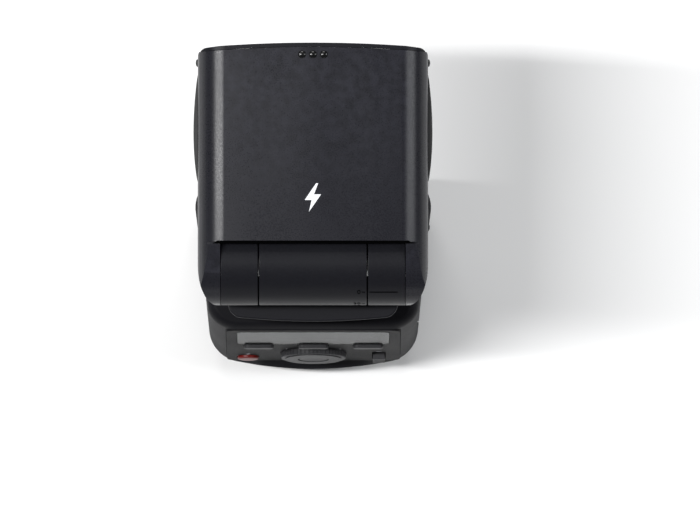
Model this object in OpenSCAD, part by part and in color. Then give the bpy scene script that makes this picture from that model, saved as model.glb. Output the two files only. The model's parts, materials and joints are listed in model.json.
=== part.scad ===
// Compact speedlight flash: a bounce head on a swivelling neck, over a battery body with a shoe foot.
// Millimetres. +Z is up, +Y is where the lens points, and the origin is the middle of the foot's underside.

/* [Head] */
// Width of the head's casing
head_w = 64.6; // [63.8:0.2:65]
// Height of the head's top above the foot
head_top = 115; // [114.6:0.2:115.4]
// Height of the head's underside above the foot
head_bottom = 80; // [79.8:0.2:80.4]
// Distance of the lens face from the swivel axis
head_front = 58; // [57.6:0.2:59]
// Wall thickness of the head's casing
head_wall = 1.6; // [1.4:0.1:1.8]

/* [Neck] */
// Height of the tilt axis
tilt_z = 100; // [99.8:0.1:100.2]
// Distance of the tilt axis behind the swivel axis
tilt_back = 3.6; // [3.4:0.1:3.8]
// Radius of the hinge barrel
barrel_r = 12; // [11.8:0.1:12.1]
// Half the width of the neck's own part of the barrel
barrel_mid = 15.1; // [14.8:0.1:15.2]
// Half the width of the whole barrel
barrel_half = 26; // [25.8:0.1:26.2]

/* [Body] */
// Height of the body's underside
body_bottom = 9; // [8.9:0.1:9]
// Height of the body's top deck
body_top = 70; // [69.6:0.2:70]
// Distance of the body's front face from the swivel axis
body_front = 21; // [20.8:0.2:21.4]
// Distance of the body's back at its foot from the swivel axis
body_back = 34.5; // [34:0.1:34.6]
// How far the back leans forward from its foot to the deck
back_lean = 10.5; // [10.3:0.1:10.6]
// Wall thickness of the body's casing
body_wall = 1.8; // [1.7:0.1:1.9]

/* [Foot] */
// Width of the shoe plate
shoe_w = 18.6; // [18.4:0.1:18.6]
// Thickness of the shoe plate
shoe_t = 2; // [1.9:0.1:2]
// Width of the stem that rises between the shoe's rails
stem_w = 12.4; // [12.2:0.1:12.5]

/* [Controls] */
// Radius of the select dial
dial_r = 9.2; // [9:0.1:9.4]
// How far a button stands out of the panel
button_proud = 0.9; // [0.8:0.1:1]

/* [Quality] */
// Segments in a full turn of a turned surface
turn_fn = 64; // [48:8:96]
// Segments in each rounded corner of an outline
corner_n = 6; // [5:1:8]

/* [Hidden] */
$fn = turn_fn;
hull_fn = 32;
run_gap = 0.05;      // radial clearance of a shaft that turns
fit_gap = 0.25;      // gap between two casings
parting_z = 93;      // where the head's two covers meet
body_split_y = -8;   // where the body's two shells meet
eps = 0.01;

// ---- outlines ----
function arc(cx, cy, r, a0, a1, n = corner_n) =
    [for (i = [0 : n]) let (a = a0 + (a1 - a0) * i / n) [cx + r * cos(a), cy + r * sin(a)]];

// A rectangle with one radius at its lower corners and one at its upper corners.
function round_rect(x0, y0, x1, y1, low, high, n = corner_n) = concat(
    arc(x1 - low, y0 + low, low, -90, 0, n), arc(x1 - high, y1 - high, high, 0, 90, n),
    arc(x0 + high, y1 - high, high, 90, 180, n), arc(x0 + low, y0 + low, low, 180, 270, n));

// The head seen along the lens axis: a wide loaf with soft upper edges.
head_crown = 0.8;
function crowned(p, half) = [p[0], p[1] + (p[1] > 100 ? head_crown * (1 - pow(p[0] / half, 2)) : 0)];
function head_section(inset) =
    let (half = head_w / 2 - inset, top = head_top - head_crown - inset, low = head_bottom + inset,
         flat = half - 7.5)
    [for (p = concat(
        arc(half - 5.5, low + 5.5, 5.5, -90, 0), arc(half - 7.5, top - 7.5, 7.5, 0, 90),
        [for (i = [1 : 7]) [flat * (1 - i / 4), top]],
        arc(-half + 7.5, top - 7.5, 7.5, 90, 180), arc(-half + 5.5, low + 5.5, 5.5, 180, 270)))
        crowned(p, half)];

// The head seen from above: a bowed front edge, and long oval corners at the tips of the arms.
front_bow = 1.4;
tip_w = 5.5;
tip_len = 11.5;
function oval(cx, cy, rx, ry, a0, a1, n = 10) =
    [for (i = [0 : n]) let (a = a0 + (a1 - a0) * i / n) [cx + rx * cos(a), cy + ry * sin(a)]];
function head_plan(inset) =
    let (half = head_w / 2 - inset, back = -tilt_back - barrel_r + inset)
    concat(
        oval(half - tip_w, back + tip_len, tip_w, tip_len, -90, 0),
        arc(half - 2.6, head_front - front_bow - 2.6, 2.6, 0, 80, 4),
        [for (i = [1 : 9]) let (x = (half - 3) * (1 - i / 5))
            [x, head_front - front_bow * pow(x / half, 2)]],
        arc(-half + 2.6, head_front - front_bow - 2.6, 2.6, 100, 180, 4),
        oval(-half + tip_w, back + tip_len, tip_w, tip_len, 180, 270));

// Everything ahead of a line set back from the bowed front.
module beyond_front(back) linear_extrude(200) polygon(concat([[60, 90], [60, 30]],
    [for (i = [0 : 10]) let (x = 40 - 8 * i) [x, head_front - back - front_bow * pow(2 * x / head_w, 2)]],
    [[-60, 30], [-60, 90]]));

// The body seen from above, at one height: rounded at the corners, and bowed at the back near its foot.
back_bow = 2.2;
back_flat = body_back - back_bow;
front_round = 9;
back_round = 10;
body_front_half = 33.5;
function leant(p, lean) = [p[0], p[1] < 0 ? p[1] * (1 - lean / body_back) : p[1]];
function body_plan(inset, lean, bow) = [for (p = concat(
    [for (i = [-3 : 3]) let (x = 5.4 * i) [x, inset - back_flat - bow * (1 - pow(x / 22, 2))]],
    arc(20, -22.5, back_round - inset, -78.5, -4),
    arc(body_front_half - front_round, body_front - front_round, front_round - inset, -4, 90),
    arc(front_round - body_front_half, body_front - front_round, front_round - inset, 90, 184),
    arc(-20, -22.5, back_round - inset, 184, 258.5))) leant(p, lean)];

// A closed solid through rings that have the same number of points.
module loft(rings) {
    n = len(rings[0]);
    m = len(rings);
    points = [for (r = rings) for (p = r) p];
    sides = [for (k = [0 : m - 2]) for (i = [0 : n - 1]) let (j = (i + 1) % n)
        each [[k * n + i, (k + 1) * n + i, k * n + j], [k * n + j, (k + 1) * n + i, (k + 1) * n + j]]];
    caps = [[for (i = [0 : n - 1]) i], [for (i = [0 : n - 1]) (m - 1) * n + n - 1 - i]];
    polyhedron(points, concat(caps, sides));
}

module along_x(x0, x1) translate([x0, 0, 0]) rotate([90, 0, 90]) linear_extrude(x1 - x0) children();
module along_y(y0, y1) translate([0, y1, 0]) rotate([90, 0, 0]) linear_extrude(y1 - y0) children();
module box(lo, hi) translate(lo) cube(hi - lo);
module rod_x(x0, x1, r) translate([x0, 0, 0]) rotate([0, 90, 0]) cylinder(h = x1 - x0, r = r);
module rod_y(y0, y1, r) translate([0, y0, 0]) rotate([-90, 0, 0]) cylinder(h = y1 - y0, r = r);
module at_tilt() translate([0, -tilt_back, tilt_z]) children();
module both_sides() { children(); mirror([1, 0, 0]) children(); }

// ---- body ----
body_h = body_top - body_bottom;
function lean_at(z) = back_lean * (z - body_bottom) / body_h;
function body_ring(z, inset, bow = 0) = [for (p = body_plan(inset, lean_at(z), bow)) [p[0], p[1], z]];

module body_outside() loft([
    body_ring(body_bottom, 2.2, back_bow), body_ring(body_bottom + 2, 0.2, back_bow),
    body_ring(body_bottom + 3.4, 0.2, back_bow * 0.7), body_ring(body_bottom + 4.6, 0.2),
    body_ring(body_top - 3, 0.2), body_ring(body_top - 0.8, 1.4), body_ring(body_top, 3.2)]);
module body_inside() loft([body_ring(body_bottom + 1.8, 3), body_ring(body_bottom + 3, body_wall + 0.2),
    body_ring(body_top - 3.6, body_wall + 0.2), body_ring(body_top - 2, 4)]);

// The control panel's own frame: X across, Z up along the leaning back, Y into the body.
panel_lean = atan(back_lean * back_flat / body_back / body_h);
module on_panel() translate([0, -back_flat, body_bottom]) rotate([-panel_lean, 0, 0]) children();
panel_half = 24.6;
panel_low = 5;
panel_high = 59.5;
module panel_shape(grow) polygon(round_rect(-panel_half - grow, panel_low - grow, panel_half + grow,
    panel_high + grow, 3 + grow, 3 + grow));
module panel_block(y0, y1, grow) on_panel() along_y(y0, y1) panel_shape(grow);

// Battery bay, on the +X side.
cell_r = 7.1;
cell_len = 49.5;
cell_y = [-11.6, 3.4];
cell_z = [20.3, 35.3];
cell_x0 = -22.3;
bay = [[-25.2, -19.8, 12.2], [27.5, 11.6, 43.4]];
door_high = 44.5;
door_back = -20.6;
pin_x = 31.4;
pin_y = 6.4;
pin_r = 0.9;
knuckle_r = 1.66;
door_front = pin_y + knuckle_r + fit_gap;
module door_opening() union() {
    box([24, door_back, bay[0][2]], [40, door_front, door_high]);
    box([bay[1][0] + 0.1, door_back, 0], [40, pin_y + fit_gap, door_high]);
    box([pin_x - 1.8, door_back, 0], [40, door_front, door_high]);
}

module body_shell() difference() {
    body_outside();
    body_inside();
    panel_block(-8, 4, 0.15);
    door_opening();
    translate([0, 0, body_top - 8]) cylinder(h = 20, r = collar_r + 0.1);
    box([-15.1, -14.1, body_bottom - 1], [15.1, 14.1, body_bottom + 3]);
    along_y(10, 30) polygon(window_outline(0.15));
}
module front_shell() color([0.10, 0.10, 0.11]) intersection() {
    body_shell();
    box([-50, body_split_y, 0], [50, 50, 100]);
}
module rear_shell() color([0.10, 0.10, 0.11]) intersection() {
    body_shell();
    box([-50, -60, 0], [50, body_split_y - eps, 100]);
}

function window_outline(grow) = round_rect(-22 - grow, 20 - grow, 22 + grow, 54 + grow, 6, 9);
module front_window() color([0.16, 0.03, 0.04]) union() {
    along_y(body_front - 3.2, body_front - 0.4) polygon(window_outline(0));
    along_y(body_front - 3.2, body_front - 2.3) polygon(window_outline(1));
}
module receiver_board() color([0.05, 0.25, 0.12]) union() {
    box([-11, 14.2, 44], [11, 15.2, 57]);
    for (x = [-6, 6]) translate([x, 0, 50]) rod_y(15.2 - eps, 16.8, 2.4);
}

module base_plate() color([0.45, 0.46, 0.48]) difference() {
    box([-15, -14, body_bottom], [15, 14, body_bottom + 1.7]);
    for (x = [-10.5, 10.5], y = [-9, 9]) translate([x, y, 0]) cylinder(h = 20, r = 1.1);
    cylinder(h = 20, r = 1.1);
    translate([0, lock_pin_y, 0]) cylinder(h = 20, r = 1.1);
}

collar_r = 17.2;
module swivel_collar() color([0.14, 0.14, 0.15]) difference() {
    union() {
        translate([0, 0, body_top - 4.5]) cylinder(h = 5.9, r = collar_r);
        translate([0, 0, body_top - 6.5]) cylinder(h = 2.01, r = 13.5);
    }
    translate([0, 0, body_top - 8]) cylinder(h = 12, r = tube_r + run_gap);
}

screw_r = 1.4;
module body_screws() color([0.2, 0.2, 0.21]) for (x = [-10.5, 10.5], y = [-9, 9])
    translate([x, y, 6.9]) union() {
        cylinder(h = 0.85, r = screw_r);
        translate([0, 0, 0.84]) cylinder(h = 2.9, r = 0.9);
    }

module lcd_window() color([0.07, 0.08, 0.08]) on_panel()
    along_y(-0.1, 0.6) polygon(round_rect(-21.5, 35.5, 21.5, 57, 2, 2));
module lcd_module() color([0.55, 0.62, 0.55]) on_panel() box([-20, 1.7, 36.5], [20, 3.3, 56]);
module key_board() color([0.05, 0.25, 0.12]) on_panel()
    box([-23, 3.5, 6.5], [23, 4.5, 34.5]);
module main_board() color([0.05, 0.25, 0.12]) union() {
    box([-28.2, -13, 14], [-27.2, 12, 60]);
    for (z = [20, 32, 44]) box([-27.2 - eps, -6, z], [-25.8, 2, z + 7]);
}

module battery_cage() color([0.2, 0.2, 0.21]) difference() {
    union() {
        box(bay[0], bay[1]);
        box([21, bay[0][1], body_bottom + 1.95], [bay[1][0], bay[1][1], bay[0][2] + eps]);
        box([-20, bay[0][1] + 1, body_bottom + 1.95], [-17, bay[1][1], bay[0][2] + eps]);
    }
    for (y = cell_y, z = cell_z) translate([cell_x0 - 1.7, y, z]) rod_x(0, 60, cell_r + 0.25);
}
module aa_cells() color([0.72, 0.70, 0.66]) for (y = cell_y, z = cell_z) translate([cell_x0, y, z]) {
    rod_x(0, cell_len - 1, cell_r);
    rod_x(cell_len - 1 - eps, cell_len, 2.7);
}
module battery_contacts() color([0.75, 0.72, 0.6]) for (y = cell_y, z = cell_z)
    translate([cell_x0 - 1.6, y, z]) difference() {
        rod_x(0, 1.5, 4.2);
        rod_x(-1, 3, 2.4);
    }
module main_capacitor() color([0.12, 0.16, 0.3]) translate([0, 4.5, 53.6]) union() {
    rod_x(-23, 22, 8.4);
    for (y = [-3, 3]) translate([0, y, 0]) rod_x(22 - eps, 24.5, 0.6);
}
module booster_transformer() color([0.6, 0.42, 0.12]) translate([-14, -11.5, 46]) union() {
    box([-6, -5, 0], [6, 5, 2]);
    translate([0, 0, 2 - eps]) cylinder(h = 7, r = 4.2);
    box([-6, -5, 9 - 2 * eps], [6, 5, 11]);
}

// The battery door slides down on a slider, and swings on the slider's pin.
knuckles = [[17.2, 24.5], [30, 39]];
arm_z = [15.2, 26.2, 40.2];
module door_slider() color([0.24, 0.24, 0.25]) union() {
    translate([pin_x, pin_y, 15.4]) cylinder(h = 25.8, r = pin_r);
    box([bay[1][0] + 0.15, pin_y - 1.4, 15.2], [bay[1][0] + 1.15, pin_y + 3.4, 41.4]);
    for (z = arm_z) box([bay[1][0] + 1.14, pin_y - 0.8, z], [pin_x, pin_y + 0.8, z + 1.2]);
}
module door_ring(inset) loft([body_ring(body_bottom, inset + 2.2), body_ring(body_bottom + 2, inset + 0.2),
    body_ring(body_top - 3, inset + 0.2)]);
module door_plate() intersection() {
    difference() {
        door_ring(0);
        translate([0, 0, 1.7]) door_ring(1.7);
    }
    box([bay[1][0] + 0.3, door_back + fit_gap + 0.1, body_bottom + 0.15],
        [40, pin_y + eps, door_high - fit_gap]);
}
module door_edge() intersection() {
    translate([pin_x, pin_y, body_bottom + 3])
        cylinder(h = door_high - fit_gap - body_bottom - 3, r = knuckle_r);
    box([pin_x, pin_y, 0], [40, 20, 60]);
}
module battery_door() color([0.11, 0.11, 0.12]) difference() {
    union() {
        door_plate();
        door_edge();
        for (k = knuckles) translate([pin_x, pin_y, k[0]]) cylinder(h = k[1] - k[0], r = knuckle_r);
        box([bay[1][0] + 0.9, -16.5, 14], [29.6, 3.6, 41]);
    }
    translate([pin_x, pin_y, 0]) cylinder(h = 60, r = pin_r + run_gap);
    for (z = arm_z) {
        box([bay[1][0], pin_y - 1.2, z - 0.2], [pin_x, pin_y + 1.2, z + 1.4]);
        box([pin_x - eps, pin_y, z - 0.2], [40, pin_y + 3, z + 1.4]);
    }
}
module door_contacts() color([0.78, 0.75, 0.62]) for (z = cell_z)
    box([bay[1][0] + 0.15, cell_y[0] - 4, z - 3.5], [bay[1][0] + 0.85, cell_y[1] + 0.1, z + 3.5]);

// ---- controls, in the panel's frame ----
dial_z = 18.5;
key_z = 32.2;
key_half = [4.2, 1.5];
key_x = [-15.5, 0, 15.5];
module key_shape(grow) polygon(round_rect(-key_half[0] - grow, -key_half[1] - grow,
    key_half[0] + grow, key_half[1] + grow, 1.4, 1.4, 4));
module key(x) color([0.2, 0.2, 0.21]) on_panel() translate([x, 0, key_z]) union() {
    along_y(-button_proud, 1.7) key_shape(0);
    along_y(1.6, 2.3) key_shape(0.7);
}
lamp_at = [-18.6, 12];
switch_at = [18.6, 12];
switch_travel = 5;

module rear_panel() color([0.06, 0.06, 0.065]) on_panel() difference() {
    along_y(0, 1.5) panel_shape(0);
    along_y(-1, 0.65) polygon(round_rect(-21.6, 35.4, 21.6, 57.1, 2.1, 2.1));
    along_y(0.6, 2) polygon(round_rect(-19.5, 37, 19.5, 55.5, 1, 1));
    for (x = key_x) translate([x, 0, key_z]) along_y(-1, 3) key_shape(0.2);
    translate([0, 0, dial_z]) rod_y(-1, 3, dial_r + 0.2);
    translate([lamp_at[0], 0, lamp_at[1]]) rod_y(-1, 3, 3.2);
    translate([switch_at[0], 0, switch_at[1]]) box([-1.9, -1, -3.4], [1.9, 3, 3.4 + switch_travel]);
}
module mode_button() key(key_x[0]);
module wireless_button() key(key_x[1]);
module menu_button() key(key_x[2]);
module select_dial() color([0.13, 0.13, 0.14]) on_panel() translate([0, 0, dial_z]) difference() {
    union() {
        rod_y(-1.6, 1.7, dial_r);
        rod_y(-1.9, -1.5, dial_r - 1.2);
        rod_y(1.6, 2.4, dial_r + 1);
    }
    rod_y(-3, 3, 4.4);
}
module set_button() color([0.2, 0.2, 0.21]) on_panel() translate([0, 0, dial_z]) union() {
    rod_y(-1.8, 2.6, 4.15);
    rod_y(2.5, 3, 5);
}
module lamp_button() color([0.75, 0.12, 0.08]) on_panel() translate([lamp_at[0], 0, lamp_at[1]]) union() {
    rod_y(-button_proud, 1.7, 3);
    rod_y(1.6, 2.3, 3.8);
}
module power_switch() color([0.2, 0.2, 0.21]) on_panel()
translate([switch_at[0], 0, switch_at[1]]) union() {
    box([-1.7, -1.3, -3.2], [1.7, 2.2, 3.2]);
    box([-2.8, 1.7, -3.2], [2.8, 2.6, 3.2]);
}

// ---- foot ----
lock_pin_y = 5.4;
lock_pin_r = 0.9;
boss_r = 7;
contact_at = [[0, 0, 1.5], [-3.9, -3.6, 0.8], [3.9, -3.6, 0.8], [-3.9, 3.4, 0.8], [3.9, 3.4, 0.8]];
module foot_holes() {
    for (c = contact_at) translate([c[0], c[1], -1]) cylinder(h = 9, r = c[2] + 0.1);
    translate([0, lock_pin_y, -1]) cylinder(h = 20, r = lock_pin_r + 0.1);
}
module shoe_foot() color([0.62, 0.63, 0.64]) difference() {
    union() {
        linear_extrude(shoe_t) polygon(round_rect(-shoe_w / 2, -9, shoe_w / 2, 9, 1.2, 1.2, 3));
        box([-stem_w / 2, -8, shoe_t - eps], [stem_w / 2, 8, 4.2]);
    }
    foot_holes();
}
module foot_block() color([0.12, 0.12, 0.13]) difference() {
    union() {
        translate([0, 0, 4.2]) cylinder(h = 2.6 + eps, r = boss_r);
        translate([0, 0, 6.8]) linear_extrude(body_bottom - 6.8)
            polygon(round_rect(-14.5, -13.5, 14.5, 13.5, 5, 5));
    }
    foot_holes();
    for (x = [-10.5, 10.5], y = [-9, 9]) translate([x, y, 0]) {
        cylinder(h = 20, r = 1.1);
        cylinder(h = 7.8, r = screw_r + 0.15);
    }
    box([-15, -7.8, 7], [-9.6, -3.6, 8.6]);
}
module shoe_contacts() color([0.85, 0.72, 0.35]) for (c = contact_at)
    translate([c[0], c[1], 0]) cylinder(h = 5.5, r = c[2]);
module lock_lever() color([0.16, 0.16, 0.17]) difference() {
    union() {
        translate([0, 0, 4.5]) cylinder(h = 2.1, r = 12.5);
        translate([0, 0, 4.5]) linear_extrude(2.1) polygon([[-3.5, -11], [3.5, -11], [4.6, -21],
            [3.6, -22.4], [-3.6, -22.4], [-4.6, -21]]);
    }
    translate([0, 0, 4]) cylinder(h = 4, r = boss_r + run_gap);
}
module lock_pin() color([0.7, 0.7, 0.72]) translate([0, lock_pin_y, 0.1]) cylinder(h = 8.6, r = lock_pin_r);
module lock_release() color([0.2, 0.2, 0.21]) box([-16.2, -7.6, 7.1], [-11, -3.8, 8.5]);

// ---- neck ----
neck_low = body_top + 1.7;
tube_r = 9;
tray_half = 23.9;
tray_back = 20.2;
tray_top = 87.6;
module barrel_clearance() at_tilt() rod_x(-40, 40, barrel_r + 0.5);
module neck_base() color([0.11, 0.11, 0.12]) difference() {
    union() {
        translate([0, 0, neck_low]) cylinder(h = 4, r = collar_r - 0.2);
        translate([0, 0, neck_low]) linear_extrude(79 - neck_low)
            polygon(round_rect(-tray_half, -14, tray_half, 8.6, 2, 6));
    }
    translate([0, 0, neck_low - 1]) cylinder(h = 20, r = tube_r + 0.02);
}
module neck_column() color([0.11, 0.11, 0.12]) difference() {
    union() {
        at_tilt() rod_x(-barrel_mid, barrel_mid, barrel_r);
        box([-barrel_mid, -14, 79 + eps], [barrel_mid, 7.4, 97]);
    }
    at_tilt() rod_x(-30, 30, 4.02);
    translate([0, 0, 70]) cylinder(h = 17, r = tube_r + 0.02);
    at_tilt() box([-barrel_mid + 2, -7, -9.5], [barrel_mid - 2, 7, -5.5]);
}
module neck_rear_cover() color([0.11, 0.11, 0.12]) difference() {
    translate([0, 0, neck_low]) linear_extrude(tray_top - neck_low) difference() {
        polygon(concat(arc(tray_half - 4, -tray_back + 5, 4, -90, 0),
            [[tray_half, -14 - eps], [-tray_half, -14 - eps]],
            arc(-tray_half + 4, -tray_back + 5, 4, 180, 270),
            [for (i = [1 : 5]) let (x = -20 + i * 40 / 6) [x, -tray_back + pow(x / 20, 2)]]));
    }
    barrel_clearance();
    box([-tray_half + 2, -17.6, neck_low - 1], [tray_half - 2, -10, 80]);
}
module swivel_tube() color([0.6, 0.6, 0.62]) difference() {
    translate([0, 0, 62.2]) cylinder(h = 86.9 - 62.2, r = tube_r);
    translate([0, 0, 60]) cylinder(h = 40, r = 6.5);
}
module swivel_ring() color([0.7, 0.6, 0.4]) difference() {
    translate([0, 0, 62.2]) cylinder(h = 1.1, r = 12.6);
    translate([0, 0, 60]) cylinder(h = 4, r = tube_r + 0.02);
    for (a = [0 : 30 : 330]) rotate(a) translate([12.9, 0, 60]) cylinder(h = 4, r = 0.9);
}
module detent_spring() color([0.75, 0.75, 0.77]) union() {
    box([-5, -13.9, 62.2], [5, -13.5, 65.4]);
    translate([0, -13.5, 62.2]) cylinder(h = 1.1, r = 0.7);
}
module tilt_shaft() color([0.7, 0.7, 0.72]) at_tilt() difference() {
    rod_x(-29, 29, 4);
    rod_x(-30, 30, 2.2);
}

// ---- head ----
// The arms' side view: a disc about the tilt axis, blended into the head.
head_back = 9.5;
cover_back = 2.2;
arm_step = 1.6;
module arm_profile(inset, front) hull() {
    translate([-tilt_back, tilt_z]) circle(r = barrel_r - inset, $fn = 48);
    polygon([[front, head_bottom + inset], [front, head_top - arm_step - inset],
        [cover_back, head_top - arm_step - inset]]);
}
module head_side(inset) union() {
    along_x(-40, 40) polygon([[head_back + inset, head_bottom + inset], [70, head_bottom + inset],
        [70, head_top - inset], [cover_back + inset, head_top - inset],
        [cover_back + inset, tilt_z + 4], [head_back + inset, tilt_z]]);
    along_x(barrel_half + inset, 40) arm_profile(inset, head_back);
    along_x(-40, -barrel_half - inset) arm_profile(inset, head_back);
}
module head_outside(inset) intersection() {
    head_side(inset);
    along_y(-30, 70) polygon(head_section(inset));
    linear_extrude(200) polygon(head_plan(inset));
}
module arm_room(inset) intersection() {
    both_sides() along_x(barrel_half - 1, 40) arm_profile(inset, head_back + 2.5);
    along_y(-30, 70) polygon(head_section(inset));
    linear_extrude(200) polygon(head_plan(inset));
}
module head_shell() difference() {
    head_outside(0);
    difference() {
        head_outside(head_wall);
        box([-60, head_front - 6.8, 0], [60, 80, 200]);
    }
    arm_room(head_wall);
    at_tilt() rod_x(-barrel_half, barrel_half, barrel_r + 0.6);
    beyond_front(1.25);
    along_y(head_front - 6.9, 80) polygon(head_section(head_wall));
}
bump_r = 1.05;
bump_pitch = 3.05;
module adapter_bumps() {
    for (i = [-1 : 1]) translate([i * bump_pitch, 54.7, head_top - 0.3]) bump();
    both_sides() for (i = [-1 : 1]) translate([head_w / 2 - 0.3, 52.4, 99 + i * bump_pitch])
        rotate([0, 90, 0]) bump();
}
module bump() union() {
    cylinder(h = 0.6, r = bump_r);
    translate([0, 0, 0.59]) cylinder(h = 0.35, r1 = bump_r, r2 = 0.5);
}
// The wall behind the barrel rises from the bottom cover, past the parting line.
module rear_wall(grow) box([-barrel_half + 0.6 - grow, 7, parting_z - 1],
    [barrel_half - 0.6 + grow, head_back + head_wall + 0.1 + grow, tilt_z + 2 + grow]);
module head_top_cover() color([0.17, 0.17, 0.19]) union() {
    difference() {
        intersection() {
            head_shell();
            box([-60, -60, parting_z + eps], [60, 100, 200]);
        }
        rear_wall(0.01);
    }
    adapter_bumps();
}
module head_bottom_cover() color([0.1, 0.1, 0.11]) difference() {
    intersection() {
        head_shell();
        union() {
            box([-60, -60, 0], [60, 100, parting_z - eps]);
            rear_wall(0);
        }
    }
    for (x = [-20, 20], y = [16, 48]) translate([x, y, 70]) cylinder(h = head_bottom - 70 + 1.3, r = 1.6);
}

// The tilt bracket closes the head behind the reflector and carries the hinge ears.
ear_x = 26;
ear_t = 2.2;
module tilt_bracket() color([0.5, 0.5, 0.52]) difference() {
    union() {
        along_x(-25.6, 25.6) polygon(concat(
            arc(-tilt_back, tilt_z, barrel_r + 0.8, 53, 9, 10),
            arc(-tilt_back, tilt_z, barrel_r + 2, 9, 53, 10)));
        along_x(-25.6, 25.6) polygon([[11.3, 82.2], [12.5, 82.2], [12.5, 103.2], [9.6, 103.2],
            [9.6, 102.4], [11.3, 102.4]]);
        both_sides() {
            at_tilt() rod_x(ear_x, ear_x + ear_t, 7.2);
            box([ear_x, -tilt_back, tilt_z - 5], [ear_x + ear_t, 12.5, tilt_z + 5]);
            box([24.8, 11.31, tilt_z - 5], [ear_x + 0.5, 12.5, tilt_z + 5]);
        }
    }
    at_tilt() rod_x(-40, 40, 4 + run_gap);
}
module hinge_cover() at_tilt() difference() {
    rod_x(barrel_mid + 0.35, barrel_half - 0.1, barrel_r);
    rod_x(barrel_mid + 1.6, 40, barrel_r - 1.5);
    rod_x(0, 40, 4.4);
}
module hinge_cover_right() color([0.1, 0.1, 0.11]) difference() {
    hinge_cover();
    at_tilt() rotate([45, 0, 0]) box([barrel_mid + 0.3, -0.25, barrel_r - 0.3], [barrel_mid + 8, 0.25, 20]);
}
module hinge_cover_left() color([0.1, 0.1, 0.11]) mirror([1, 0, 0]) hinge_cover();

grip_low = 85;
grip_high = 106;
module side_grip() translate([0, 0, grip_low]) linear_extrude(grip_high - grip_low)
    polygon(concat([for (i = [0 : 12]) let (t = i / 12)
        [head_w / 2 + 0.02 + 1.2 * pow(sin(180 * pow(t, 0.9)), 0.8), 19 + 30 * t]],
        [[head_w / 2 + 0.02, 19]]));
module side_grip_right() color([0.08, 0.08, 0.085]) side_grip();
module side_grip_left() color([0.08, 0.08, 0.085]) mirror([1, 0, 0]) side_grip();

slot_low = 108.4;
slot_high = 111;
slot_half = 22.6;
module lens_bezel() color([0.05, 0.05, 0.055]) difference() {
    intersection() {
        union() {
            difference() {
                along_y(head_front - 5, head_front + 1) polygon(head_section(0.25));
                difference() {
                    box([-60, 0, 0], [60, 80, 200]);
                    beyond_front(1.15);
                }
            }
            along_y(head_front - 4.6, head_front - 2) polygon(head_section(head_wall + 0.1));
        }
        linear_extrude(200) polygon(head_plan(0.25));
    }
    beyond_front(0);
    along_y(0, 80) polygon(round_rect(-27.6, 83.4, 27.6, 106.9, 3, 3));
    box([-slot_half, 0, slot_low], [slot_half, 80, slot_high]);
}
module fresnel_lens() color([0.85, 0.88, 0.9, 0.5]) intersection() {
    along_y(head_front - 4.6, head_front + 1) polygon(round_rect(-27.5, 83.5, 27.5, 106.8, 3, 3));
    linear_extrude(200) polygon(concat(
        [for (i = [0 : 10]) let (x = 30 - 6 * i) [x, head_front - 0.35 - front_bow * pow(x / 32, 2)]],
        [for (i = [0 : 10]) let (x = -30 + 6 * i) [x, head_front - 2.2 - front_bow * pow(x / 32, 2)]]));
}
module panel_guide() color([0.12, 0.12, 0.13]) difference() {
    box([-24, 15, 107.7], [24, head_front - 6.2, 111.9]);
    box([-slot_half, 12, slot_low], [slot_half, 80, slot_high]);
}
module head_screws() color([0.2, 0.2, 0.21]) for (x = [-20, 20], y = [16, 48])
    translate([x, y, head_bottom + 0.1]) cylinder(h = 1.15, r = 1.5);

module catchlight_panel() color([0.92, 0.92, 0.9]) union() {
    box([-21.6, 16.5, 109.9], [21.6, head_front - 2.2, 110.6]);
    box([-21.6, head_front - 3.4, 109.9], [21.6, head_front - 1.6, 110.8]);
}
module wide_panel() color([0.9, 0.92, 0.94, 0.5]) union() {
    box([-21.6, 16.5, 108.7], [21.6, head_front - 2.2, 109.6]);
    box([-6, head_front - 3.4, 108.6], [6, head_front - 1.7, 109.6]);
}

// Zoom: a stepper turns the lead screw, which carries the reflector along two rails.
rail_at = [[-28.4, 101], [28.4, 89]];
rail_r = 1;
screw_at = [28.3, 100];
zoom_back = 15;
module zoom_rails() color([0.75, 0.75, 0.77]) for (r = rail_at)
    translate([r[0], 0, r[1]]) rod_y(15.5, 52.5, rail_r);
module zoom_motor() color([0.6, 0.6, 0.6]) translate([24.8, 0, 98.5]) difference() {
    union() {
        rod_y(13, 20, 4);
        box([-4, 20 - eps, -4], [5, 20.8, 4]);
    }
    translate([screw_at[0] - 24.8, 0, screw_at[1] - 98.5]) rod_y(19, 30, 1.3);
}
module lead_screw() color([0.72, 0.7, 0.62]) translate([screw_at[0], 0, screw_at[1]]) union() {
    rod_y(20.2, 52, 0.8);
    for (i = [0 : 9]) rod_y(23 + 3 * i, 24 + 3 * i, 1.05);
}
module zoom_carriage() color([0.15, 0.15, 0.16]) difference() {
    union() {
        box([-29.6, 38, 84.5], [29.6, 39.2, 106]);
        translate([rail_at[0][0], 0, rail_at[0][1]]) rod_y(36, 42, 1.9);
        translate([rail_at[1][0], 0, rail_at[1][1]]) rod_y(36, 42, 1.9);
    }
    for (r = rail_at) translate([r[0], 0, r[1]]) rod_y(30, 50, rail_r + run_gap);
    translate([screw_at[0], 0, screw_at[1]]) rod_y(30, 50, 1.25);
    box([-22.4, 30, 87], [22.4, 50, 104]);
}
reflector_x = 24;
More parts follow.
